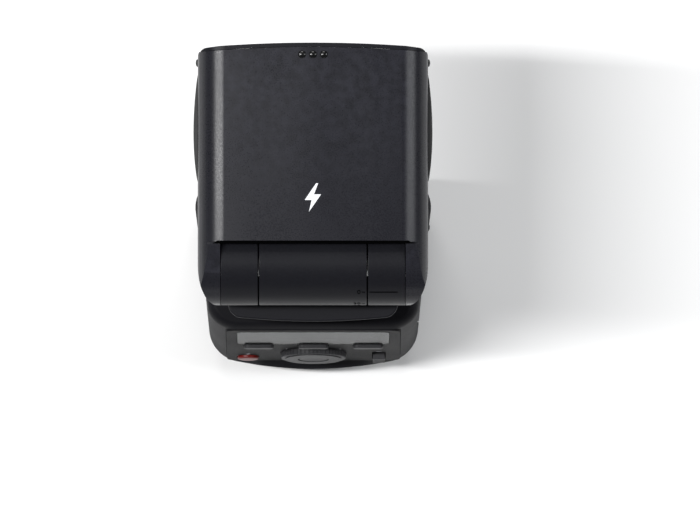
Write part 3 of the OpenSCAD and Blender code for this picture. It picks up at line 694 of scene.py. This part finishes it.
def wrap_on_barrel(piece, x, angle):
    """Bends a flat piece round the barrel, at an angle back from the top."""
    for v in piece.data.vertices:
        u, w, out = v.co
        a, r = math.radians(angle) - w / BARREL_R, BARREL_R + out
        v.co = (x + u, TILT_Y - r * math.sin(a), TILT_Z + r * math.cos(a))
    return face_out(piece)


def hoop(outline, n=192):
    """A ring round the tilt axis, from a closed outline of (radius, x) pairs."""
    points, faces, m = [], [], len(outline)
    for r, x in outline:
        points += [(x, TILT_Y + r * math.cos(2 * math.pi * i / n), TILT_Z + r * math.sin(2 * math.pi * i / n))
                   for i in range(n)]
    for j in range(m):
        for i in range(n):
            k, after = (i + 1) % n, (j + 1) % m
            faces.append((j * n + i, j * n + k, after * n + k, after * n + i))
    return make(points, faces)


def rim(x, side, edge):
    """The rounded edge of the barrel's skin, at one end."""
    steps = [math.radians(15 * i) for i in range(7)]
    turn = [(BARREL_R - edge + edge * math.cos(a), x - side * edge + side * edge * math.sin(a)) for a in steps]
    return turn if side > 0 else turn[::-1]


def build_barrel():
    """The barrel's middle, on the neck's column: a core with a seamless skin, and the tilt's angle figures."""
    core = rod("x", (0, TILT_Y, TILT_Z), BARREL_R - 0.3, -BARREL_MID + 0.2, BARREL_MID - 0.2, 160)
    add(core, box((-BARREL_MID, -14, 79.02), (BARREL_MID, 7.4, 94)))
    cut(core, rod("x", (0, TILT_Y, TILT_Z), 4.02, -20, 20, 64),
        rod("z", (0, 0, 0), TUBE_R + 0.02, 70, 87, 96))
    soften(core, 0.2, 2, 35)
    inside, edge = BARREL_R - 1.2, 0.3
    skin = hoop([(inside, -BARREL_MID)] + rim(-BARREL_MID, -1, edge) + rim(BARREL_MID, 1, edge)
                + [(inside, BARREL_MID)])
    stand_for("neck_column", merged([core, skin]), CASING_ROUND, 40)
    marks = []
    for degrees in (0, 30, 45, 60, 75, 90):
        angle = INDEX_ANGLE + degrees
        marks += [wrap_on_barrel(figures(str(degrees), 2.1, 0.14), 13.4, angle),
                  wrap_on_barrel(box((0, -0.13, -0.05), (0.9, 0.13, 0.05)), 13.75, angle)]
    show(smooth(merged(marks), 30), "tilt_figures", PAINTED_SHADOW_AND_MARK_BLACK, "neck", "casing_dark")


def build_hinge_covers():
    """The barrel's outer parts, and the index line that the angle figures pass."""
    near, far, bore, inside, cheek = BARREL_MID + 0.35, BARREL_HALF - 0.12, 4.4, BARREL_R - 1.5, 1.25
    for side, node in ((1, "hinge_cover_right"), (-1, "hinge_cover_left")):
        outline = ([(bore, near)] + rim(near, -1, 0.22) + rim(far, 1, 0.22)
                   + [(inside, far), (inside, near + cheek), (bore, near + cheek)])
        stand_for(node, hoop([(r, side * x) for r, x in outline]), CASING_ROUND, 40)
    index = wrap_on_barrel(box((0, -0.17, -0.05), (7.9, 0.17, 0.04)), near + 0.4, INDEX_ANGLE)
    show(smooth(index, 30), "tilt_index", PAINTED_SHADOW_AND_MARK_BLACK, "head", "casing_dark")


def build_neck():
    """The tray behind the barrel, the neck's base, and the swivel's collar."""
    half, corner_x = 23.9, 19.9
    rear = [(x, -20.2 + (x / 20) ** 2) for x in (-corner_x + 2 * corner_x * i / 20 for i in range(1, 20))]
    corner = arc(corner_x, -15.2, 4, -90, 0, 14)
    outline = rear + corner + [(half, -14.0), (-half, -14.0)] + [(-x, y) for x, y in reversed(corner)]
    cover = prism(outline, "z", NECK_LOW, 87.6)
    cut(cover, rod("x", (0, TILT_Y, TILT_Z), BARREL_R + 0.5, -40, 40, 160),
        box((2 - half, -17.6, NECK_LOW - 1), (half - 2, -10, 80)))
    stand_for("neck_rear_cover", soften(cover, 0.5, 4, 35), CASING_ROUND, 35)

    base = prism(round_corners([(-half, -13.98), (half, -13.98), (half, 8.6), (-half, 8.6)], [0, 0, 6, 6]),
                 "z", NECK_LOW, 79)
    add(base, rod("z", (0, 0, 0), COLLAR_R - 0.2, NECK_LOW, NECK_LOW + 4, 128))
    cut(base, rod("z", (0, 0, 0), TUBE_R + 0.02, 70, 90, 96))
    stand_for("neck_base", soften(base, 0.45, 3, 35), CASING_SHADED, 35)

    collar = turned([(0, 63.5), (13.5, 63.5), (13.5, 65.5), (COLLAR_R, 65.5), (COLLAR_R, 70.9),
                     (COLLAR_R - 0.15, 71.25), (COLLAR_R - 0.5, 71.4), (0, 71.4)], "z", (0, 0, 0), 128)
    cut(collar, rod("z", (0, 0, 0), TUBE_R + 0.05, 60, 80, 96))
    stand_for("swivel_collar", collar, CASING_SHADED, 30)


build_barrel()
build_hinge_covers()
build_neck()


# ---- body ----
BODY_LOW, BODY_FRONT, BACK, BACK_BOW, LEAN, SPLIT_Y = 9.0, 21.0, 34.5, 2.2, 10.5, -8.0
BACK_FLAT = BACK - BACK_BOW
SKIN_INSET = 0.2
PANEL_TILT = math.atan(LEAN * BACK_FLAT / BACK / (DECK - BODY_LOW))
PANEL_FRAME = Matrix.Translation((0, -BACK_FLAT, BODY_LOW)) @ Matrix.Rotation(-PANEL_TILT, 4, "X")


def on_panel(piece):
    """Moves a piece from the panel's frame: X across, Z up the leaning back, Y into the body."""
    return moved(piece, PANEL_FRAME)


def body_ring(z, inset, bow=0.0, n=14):
    """The body's outline at one height: round corners, and a back that leans and bows."""
    scale = 1 - LEAN * (z - BODY_LOW) / (DECK - BODY_LOW) / BACK
    rear_r, front_r = 10, 9
    rear = [(x, inset - BACK_FLAT - bow * (1 - (x / 22) ** 2)) for x in (16.2 * i / 6 for i in range(-6, 7))]
    plan = (rear + arc(20, -22.5, rear_r - inset, -78.5, -4, n)
            + arc(24.5, BODY_FRONT - front_r, front_r - inset, -4, 90, n)
            + arc(-24.5, BODY_FRONT - front_r, front_r - inset, 90, 184, n)
            + arc(-20, -22.5, rear_r - inset, 184, 258.5, n))
    return [(x, y * (scale if y < 0 else 1), z) for x, y in plan]


def body_solid(extra=0.0):
    """The whole body: a rounded foot, a bow that fades into flat walls, and a rounded shoulder."""
    inset, shoulder = SKIN_INSET + extra, 3.4
    foot = [body_ring(BODY_LOW + 2 * math.sin(a), 2.2 - 2 * math.sin(a) ** 1.5 + extra, BACK_BOW)
            for a in (math.radians(d) for d in (0, 22, 45, 68, 90))]
    waist = [body_ring(BODY_LOW + 2 + 2.6 * t, inset, BACK_BOW * (1 - t * t * (3 - 2 * t)))
             for t in (0.2, 0.4, 0.6, 0.8, 1.0)]
    walls = [body_ring(z, inset) for z in (22, 36, 52)]
    brow = [body_ring(DECK - shoulder + shoulder * math.sin(a), inset + 3.0 * (1 - math.cos(a)))
            for a in (math.radians(d) for d in range(0, 91, 15))]
    return loft(foot + waist + walls + brow)


def rounded(x0, z0, x1, z1, r, n=6):
    """A rectangle with one radius at every corner, or a radius for each."""
    radii = [r] * 4 if isinstance(r, (int, float)) else r
    return round_corners([(x0, z0), (x1, z0), (x1, z1), (x0, z1)], radii, n)


def panel_outline(grow=0.0):
    return rounded(-24.6 - grow, 5 - grow, 24.6 + grow, 59.5 + grow, 3 + grow, 8)


def body_room():
    """The hollow of the body."""
    return loft([body_ring(10.8, 3), body_ring(12, 2), body_ring(DECK - 3.6, 2), body_ring(DECK - 2, 4)])


def window_shape(grow):
    return rounded(-22 - grow, 20 - grow, 22 + grow, 54 + grow, [6, 6, 9, 9], 10)


def slab(points, thickness):
    """A thin plate through the quad of points."""
    a, b, c = (Vector(p) for p in points[:3])
    side = (b - a).cross(c - a).normalized() * thickness / 2
    return loft([[tuple(Vector(p) - side) for p in points], [tuple(Vector(p) + side) for p in points]])


def build_shells():
    """Front and rear shells with shallow seams, open for the panel, door, window, collar and foot."""
    shell = body_solid()
    seam, seam_depth, belt, play = 0.4, 0.35, 63.4, 0.15
    seams = [slab([(s * 33.5, -17.5, 30), (s * 23.2, -24.6, 67), (s * 12, -8, 67), (s * 20, -4, 30)], seam)
             for s in (1, -1)]
    seams.append(slab([(40, -40, belt), (40, 40, belt), (-40, 40, belt), (-40, -40, belt)], seam))
    seams = keep(cut(copy(shell), body_solid(seam_depth)), merged(seams))
    cut(shell, body_room(), on_panel(prism(panel_outline(play), "y", -8, 4)),
        box((24, -20.6, 12.2), (40, 8.31, 44.5)), box((27.6, -20.6, 0), (40, 6.65, 44.5)),
        box((29.6, -20.6, 0), (40, 8.31, 44.5)), rod("z", (0, 0, 0), COLLAR_R + 0.1, DECK - 8, 90, 128),
        box((-15.1, -14.1, 8), (15.1, 14.1, 12)), prism(window_shape(play), "y", 10, 30), seams)
    front, rear = copy(shell), shell
    half_gap = 0.02
    keep(front, box((-50, SPLIT_Y + half_gap, 0), (50, 50, 100)))
    keep(rear, box((-50, -60, 0), (50, SPLIT_Y - half_gap, 100)))
    stand_for("front_shell", soften(front, 0.16, 2, 40), CASING_SHADED, 33)
    stand_for("rear_shell", soften(rear, 0.16, 2, 40), CASING_SHADED, 33)


KEY_X, KEY_Z, DIAL_Z, DIAL_R = (-15.5, 0, 15.5), 32.2, 18.5, 9.2
LAMP_X, LAMP_Z, SWITCH_X, SWITCH_Z, SWITCH_TRAVEL = -18.6, 12.0, 18.6, 12.0, 5.0


def key_shape(grow):
    return rounded(-4.2 - grow, -1.5 - grow, 4.2 + grow, 1.5 + grow, 1.4, 8)


def build_panel():
    """The rear panel and its three keys."""
    panel = prism(panel_outline(), "y", 0, 1.5)
    cut(panel, prism(rounded(-21.6, 35.4, 21.6, 57.1, 2.1), "y", -1, 0.65),
        prism(rounded(-19.5, 37, 19.5, 55.5, 1), "y", 0.6, 2),
        *[prism(shifted(key_shape(0.2), x, KEY_Z), "y", -1, 3) for x in KEY_X],
        rod("y", (0, 0, DIAL_Z), DIAL_R + 0.2, -1, 3, 128), rod("y", (LAMP_X, 0, LAMP_Z), 3.2, -1, 3, 64),
        box((SWITCH_X - 1.9, -1, SWITCH_Z - 3.4), (SWITCH_X + 1.9, 3, SWITCH_Z + 3.4 + SWITCH_TRAVEL)))
    stand_for("rear_panel", on_panel(soften(panel, 0.2, 3, 40)), PANEL, 35)
    for x, node in zip(KEY_X, ("mode_button", "wireless_button", "menu_button")):
        key = prism(shifted(key_shape(0), x, KEY_Z), "y", -0.9, 1.7)
        add(key, prism(shifted(key_shape(0.7), x, KEY_Z), "y", 1.6, 2.3))
        stand_for(node, on_panel(soften(key, 0.3, 3, 35)), BUTTON, 35)


def build_dial():
    """The knurled dial, with the set button in its middle."""
    wheel = turned([(0, -1.6), (DIAL_R - 0.35, -1.6), (DIAL_R - 0.1, -1.5), (DIAL_R, -1.3), (DIAL_R, 1.7),
                    (0, 1.7)], "y", (0, 0, 0), 144)
    add(wheel, rod("y", (0, 0, 0), DIAL_R + 1, 1.6, 2.4, 96), rod("y", (0, 0, 0), DIAL_R - 1.2, -1.9, -1.5, 96))
    count = 48
    teeth = [moved(prism([(-0.22, -0.25), (0.22, -0.25), (0, 0.28)], "y", -2.2, 1.2),
                   Matrix.Rotation(math.radians(360 * k / count), 4, "Y") @ Matrix.Translation((0, 0, -DIAL_R)))
             for k in range(count)]
    cut(wheel, merged(teeth), rod("y", (0, 0, 0), 4.4, -3, 3, 64))
    moved(soften(wheel, 0.12, 2, 40), Matrix.Translation((0, 0, DIAL_Z)))
    stand_for("select_dial", on_panel(wheel), BUTTON, 35)
    cap = turned([(0, -1.62), (2.6, -1.66), (3.6, -1.8), (4.0, -1.78), (4.15, -1.6), (4.15, 2.5), (5, 2.5),
                  (5, 3.0), (0, 3.0)], "y", (0, 0, DIAL_Z), 72)
    stand_for("set_button", on_panel(cap), BUTTON, 35)


def build_lamp_and_switch():
    """The round lamp key, and the ridged power switch."""
    lamp = turned([(0, -0.9), (2.3, -0.86), (2.8, -0.7), (3.0, -0.4), (3.0, 1.6), (3.8, 1.6), (3.8, 2.3),
                   (0, 2.3)], "y", (LAMP_X, 0, LAMP_Z), 56)
    stand_for("lamp_button", on_panel(lamp), LAMP, 35)
    half = 3.2
    slider = box((SWITCH_X - 1.7, -1.3, SWITCH_Z - half), (SWITCH_X + 1.7, 2.2, SWITCH_Z + half))
    add(slider, box((SWITCH_X - 2.8, 1.7, SWITCH_Z - half), (SWITCH_X + 2.8, 2.6, SWITCH_Z + half)))
    for k in range(4):
        z = SWITCH_Z - 1.95 + 1.3 * k
        cut(slider, box((SWITCH_X - 3, -2, z - 0.22), (SWITCH_X + 3, -0.85, z + 0.22)))
    stand_for("power_switch", on_panel(soften(slider, 0.16, 2, 40)), BUTTON, 35)


def plate(outline, dx=0.0, dz=0.0):
    """A printed mark on the panel."""
    thick = 0.03
    return prism(shifted(outline, dx, dz), "y", -thick, thick)


def dash(half, line):
    return [(-half, -line), (half, -line), (half, line), (-half, line)]


def build_panel_marks():
    """Plain icons: a bolt, a fan of waves, a menu's lines, two dots, and ticks round the dial and switch."""
    line = 0.12
    mode_x, _, menu_x = KEY_X
    bolt = [(0.3, 1.3), (-0.8, -0.25), (-0.1, -0.25), (-0.35, -1.3), (0.8, 0.3), (0.1, 0.3), (0.5, 1.3)]
    marks = [plate(bolt, LAMP_X, LAMP_Z + 4.7)]
    for k in range(3):
        r = 0.7 + 0.55 * k
        wave = arc(0, KEY_Z - 3.4, r + line, 50, 130, 8) + arc(0, KEY_Z - 3.4, r - line, 130, 50, 8)
        marks += [plate(wave), plate(dash(1.1, line), menu_x, KEY_Z - 2.3 - 0.55 * k)]
    for dx in (-0.8, 0.8):
        marks.append(plate(arc(0, 0, 0.55, 0, 345, 16), mode_x + dx, KEY_Z - 2.85))
    for a in (math.radians(d) for d in (45, 135, 90)):
        r = DIAL_R + 1.6
        marks.append(plate(arc(0, 0, 0.28, 0, 330, 10), r * math.cos(a), DIAL_Z + r * math.sin(a)))
    for z in (SWITCH_Z - 4.4, SWITCH_Z + 9.4):
        marks.append(plate(dash(0.8, line), SWITCH_X, z))
    show(smooth(on_panel(merged(marks)), 30), "panel_marks", PRINT_GREY, "base", "casing_dark")


build_shells()
build_panel()
build_dial()
build_lamp_and_switch()
build_panel_marks()


# ---- battery door, window, foot ----
PIN_X, PIN_Y, BAY_X = 31.4, 6.4, 27.5
ARM_Z, KNUCKLES = (15.2, 26.2, 40.2), ((17.2, 24.5), (30.0, 39.0))
CONTACTS = [(0, 0, 1.5), (-3.9, -3.6, 0.8), (3.9, -3.6, 0.8), (-3.9, 3.4, 0.8), (3.9, 3.4, 0.8)]
LOCK_PIN = (0, 5.4, 0.9)
FOOT_SCREWS = [(x, y) for x in (-10.5, 10.5) for y in (-9, 9)]


def body_wall(inset, low):
    """The body's side from foot to shoulder, without the bow in its back."""
    steps = ((0, 2.2), (0.6, 1.2), (2, SKIN_INSET))
    rings = [body_ring(BODY_LOW + z + low, inset + more) for z, more in steps]
    return loft(rings + [body_ring(z, inset + SKIN_INSET) for z in (22, 36, DECK - 3 + low)])


def build_door():
    """The battery door, cut from the body's own side, with hinge knuckles, grip ribs and an arrow."""
    thick, knuckle_r, pin_r, groove, top = 1.7, 1.66, 0.95, 0.32, 44.25
    door = cut(body_wall(0, 0), body_wall(thick, thick))
    keep(door, box((BAY_X + 0.3, -20.25, 9.15), (40, PIN_Y + 0.01, top)))
    edge = keep(rod("z", (PIN_X, PIN_Y, 0), knuckle_r, 12, top, 64), box((PIN_X, PIN_Y, 0), (40, 20, 60)))
    add(door, edge, *[rod("z", (PIN_X, PIN_Y, 0), knuckle_r, a, b, 64) for a, b in KNUCKLES],
        box((BAY_X + 0.9, -16.5, 14), (29.6, 3.6, 41)))
    cut(door, rod("z", (PIN_X, PIN_Y, 0), pin_r, 0, 60, 48))
    for z in ARM_Z:
        cut(door, box((BAY_X, PIN_Y - 1.2, z - 0.2), (PIN_X, PIN_Y + 1.2, z + 1.4)),
            box((PIN_X - 0.01, PIN_Y, z - 0.2), (40, PIN_Y + 3, z + 1.4)))
    ribs = [box((20, -13 + 1.7 * k - 0.28, 15.5), (50, -13 + 1.7 * k + 0.28, 24)) for k in range(6)]
    arrow = prism([(-5.9, 33.2), (-4.1, 33.2), (-4.1, 30.2), (-3.0, 30.2), (-5.0, 27.4), (-7.0, 30.2),
                   (-5.9, 30.2)], "x", 20, 50)
    layer = cut(keep(body_wall(0, 0), box((28, -20, 10), (40, 5.5, 43))), body_wall(groove, 0))
    cut(door, keep(layer, merged(ribs + [arrow])))
    stand_for("battery_door", soften(door, 0.12, 2, 42), DOOR, 33)


def build_window():
    """The red front window, with a flange inside the shell."""
    back = BODY_FRONT - 3.2
    pane = prism(window_shape(0), "y", back, BODY_FRONT - 0.4)
    add(pane, prism(window_shape(1), "y", back, BODY_FRONT - 2.3))
    stand_for("front_window", soften(pane, 0.35, 4, 40), WINDOW, 35)


def foot_bores(low, high):
    """Holes for the contacts and the lock pin."""
    return merged([rod("z", (x, y, 0), r + 0.1, low, high, 40) for x, y, r in CONTACTS + [LOCK_PIN]])


def build_shoe():
    """The metal shoe plate on its stem, and the moulded block above it."""
    shoe = prism(rounded(-9.3, -9, 9.3, 9, 1.2), "z", 0, 2)
    add(shoe, box((-6.2, -8, 1.99), (6.2, 8, 4.2)))
    cut(shoe, foot_bores(-1, 8), box((-9.5, -6.2, -0.2), (-7.1, -5.9, 0.15)),
        box((7.1, -6.2, -0.2), (9.5, -5.9, 0.15)))
    stand_for("shoe_foot", soften(shoe, 0.28, 3, 38), SHOE, 35)

    block = prism(rounded(-14.5, -13.5, 14.5, 13.5, 5, 10), "z", 6.8, 9)
    add(block, rod("z", (0, 0, 0), 7, 4.2, 6.81, 96))
    cut(block, foot_bores(-1, 20), box((-15, -7.8, 7), (-9.6, -3.6, 8.6)))
    for x, y in FOOT_SCREWS:
        cut(block, rod("z", (x, y, 0), 1.1, 0, 20, 32), rod("z", (x, y, 0), 1.55, 0, 7.8, 40))
    stand_for("foot_block", soften(block, 0.25, 3, 38), CASING_SHADED, 35)


def build_screws(node, places, z, length):
    """Cross-head screws, heads down."""
    slot_half, slot_wide, slot_deep = 0.75, 0.16, 0.45
    heads = []
    for x, y in places:
        head = turned([(0, z), (1.1, z), (1.38, z + 0.2), (1.4, z + 0.85), (0.9, z + 0.85), (0.9, z + length),
                       (0, z + length)], "z", (x, y, 0), 40)
        cut(head, box((x - slot_half, y - slot_wide, z - 0.2), (x + slot_half, y + slot_wide, z + slot_deep)),
            box((x - slot_wide, y - slot_half, z - 0.2), (x + slot_wide, y + slot_half, z + slot_deep)))
        heads.append(head)
    stand_for(node, merged(heads), STEEL, 35)


def build_lever():
    """The lock lever: a collar round the foot, with a ribbed tail."""
    low, high = 4.5, 6.6
    lever = prism(arc(0, 0, 12.5, 0, 357, 119), "z", low, high)
    tail = round_corners([(-3.9, -10), (-4.6, -21), (-3.6, -22.4), (3.6, -22.4), (4.6, -21), (3.9, -10)],
                         [0, 1.2, 0.6, 0.6, 1.2, 0])
    add(lever, prism(tail, "z", low, high))
    cut(lever, rod("z", (0, 0, 0), 7.05, 4, 8, 96))
    for k in range(4):
        y = -20.9 + 1.25 * k
        cut(lever, box((-3.2, y - 0.25, high - 0.3), (3.2, y + 0.25, 8)),
            box((-3.2, y - 0.25, 3), (3.2, y + 0.25, low + 0.3)))
    stand_for("lock_lever", soften(lever, 0.28, 3, 38), CASING_SHADED, 33)


def build_contacts():
    """Five contacts, flush with the foot's underside."""
    pins = [turned([(0, 0.02), (r * 0.75, 0), (r, 0.25), (r, 5.5), (0, 5.5)], "z", (x, y, 0), 36)
            for x, y, r in CONTACTS]
    stand_for("shoe_contacts", merged(pins), GOLD, 35)


def build_display_cover():
    """The clear cover over the display."""
    cover = prism(rounded(-21.5, 35.5, 21.5, 57, 2, 10), "y", -0.1, 0.6)
    stand_for("lcd_window", on_panel(soften(cover, 0.12, 2, 40)), LCD_COVER, 35)


build_door()
build_window()
build_shoe()
build_screws("body_screws", FOOT_SCREWS, 6.9, 3.6)
build_screws("head_screws", HEAD_SCREWS, LOW + 0.1, 1.1)
build_lever()
build_contacts()
build_display_cover()


# ---- the other CAD nodes: the same shapes with rounded edges, each with a material and an edge radius ----
PLAIN = {
    "base_plate": (STEEL, 0.2), "receiver_board": (BOARD, 0.1), "lcd_module": (LCD, 0.1),
    "key_board": (BOARD_DARK, 0.1), "main_board": (BOARD, 0.1), "battery_cage": (INNER, 0.2),
    "aa_cells": (CELL, 0.4), "battery_contacts": (STEEL, 0.1), "main_capacitor": (CAPACITOR, 0.4),
    "booster_transformer": (COPPER, 0.2), "door_slider": (INNER, 0.1), "door_contacts": (GOLD, 0.1),
    "lock_pin": (STEEL, 0.2), "lock_release": (BUTTON, 0.25), "swivel_tube": (STEEL, 0.2),
    "swivel_ring": (STEEL, 0.1), "detent_spring": (STEEL, 0.05), "tilt_shaft": (STEEL, 0.2),
    "tilt_bracket": (STEEL, 0.15), "panel_guide": (INNER, 0.1), "catchlight_panel": (CARD, 0.1),
    "wide_panel": (DIFFUSER, 0.1), "zoom_rails": (STEEL, 0.1), "zoom_motor": (STEEL, 0.2),
    "lead_screw": (STEEL, 0.05), "zoom_carriage": (INNER, 0.15), "reflector": (MIRROR, 0.05),
    "flash_tube": (TUBE, 0.1), "trigger_coil": (COPPER, 0.2),
}
for node, (material, width) in PLAIN.items():
    polish(node, material, width)


# ---- floor, light and camera ----
def build_floor():
    """A pale, flat floor."""
    n = Nodes("studio_floor")
    tone = n.mix(n.ramp(n.noise(3.0, 4), 0.35, 0.65), (0.80, 0.80, 0.80), (0.84, 0.84, 0.84))
    material = n.to_shader(Base_Color=tone, Roughness=n.ramp(n.noise(40.0, 4), 0.3, 0.7, 0.55, 0.7))
    half = 9000
    floor = make([(-half, -half, 0), (half, -half, 0), (half, half, 0), (-half, half, 0)], [(0, 1, 2, 3)])
    floor.name = floor.data.name = "floor"
    moved(floor, Matrix.Scale(MM, 4))
    floor.data.materials.append(material)


def softbox(name, at, target, width, height, power, tint=(1, 1, 1)):
    """A rectangular light of a size in metres and a power in watts."""
    lamp = bpy.data.lights.new(name, "AREA")
    lamp.shape, lamp.size, lamp.size_y, lamp.energy, lamp.color = "RECTANGLE", width, height, power, tint
    holder = bpy.data.objects.new(name, lamp)
    holder.location = at
    holder.rotation_euler = (Vector(target) - Vector(at)).to_track_quat("-Z", "Y").to_euler()
    bpy.context.collection.objects.link(holder)


def build_light():
    """Narrow lights at the two sides for the long highlights, and wide ones in front and behind."""
    world = bpy.data.worlds.new("studio")
    world.use_nodes = True
    world.node_tree.nodes["Background"].inputs["Color"].default_value = (1.0, 1.0, 1.0, 1)
    world.node_tree.nodes["Background"].inputs["Strength"].default_value = 0.18
    bpy.context.scene.world = world
    softbox("left_box", (-0.64, 0.06, 1.15), (0, 0.02, 0.1), 0.1, 0.8, 17.0)
    softbox("right_box", (0.95, 0.1, 0.9), (0, 0, 0.1), 0.2, 0.8, 6.5, (0.96, 0.98, 1.0))
    softbox("front_box", (0.0, 1.15, 1.2), (0, 0, 0.08), 1.0, 0.5, 11.0)
    softbox("back_box", (0.15, -1.3, 0.3), (0, 0, 0.06), 1.1, 0.4, 1.6)


def build_camera():
    """Straight down on the head from far off, with the lens side at the top of the picture."""
    lens, sensor, view_width, aim_height = 1000.0, 36.0, 0.196, 0.115
    data = bpy.data.cameras.new("camera")
    data.lens, data.sensor_width = lens, sensor
    distance = view_width * lens / sensor
    data.clip_start, data.clip_end = 0.1, distance * 3
    camera = bpy.data.objects.new("camera", data)
    aim_x, aim_y = 0.0104, -0.0036
    camera.location = (aim_x, aim_y, aim_height + distance)
    bpy.context.collection.objects.link(camera)
    bpy.context.scene.camera = camera


bpy.context.scene.view_settings.view_transform = "Standard"
build_floor()
build_light()
build_camera()
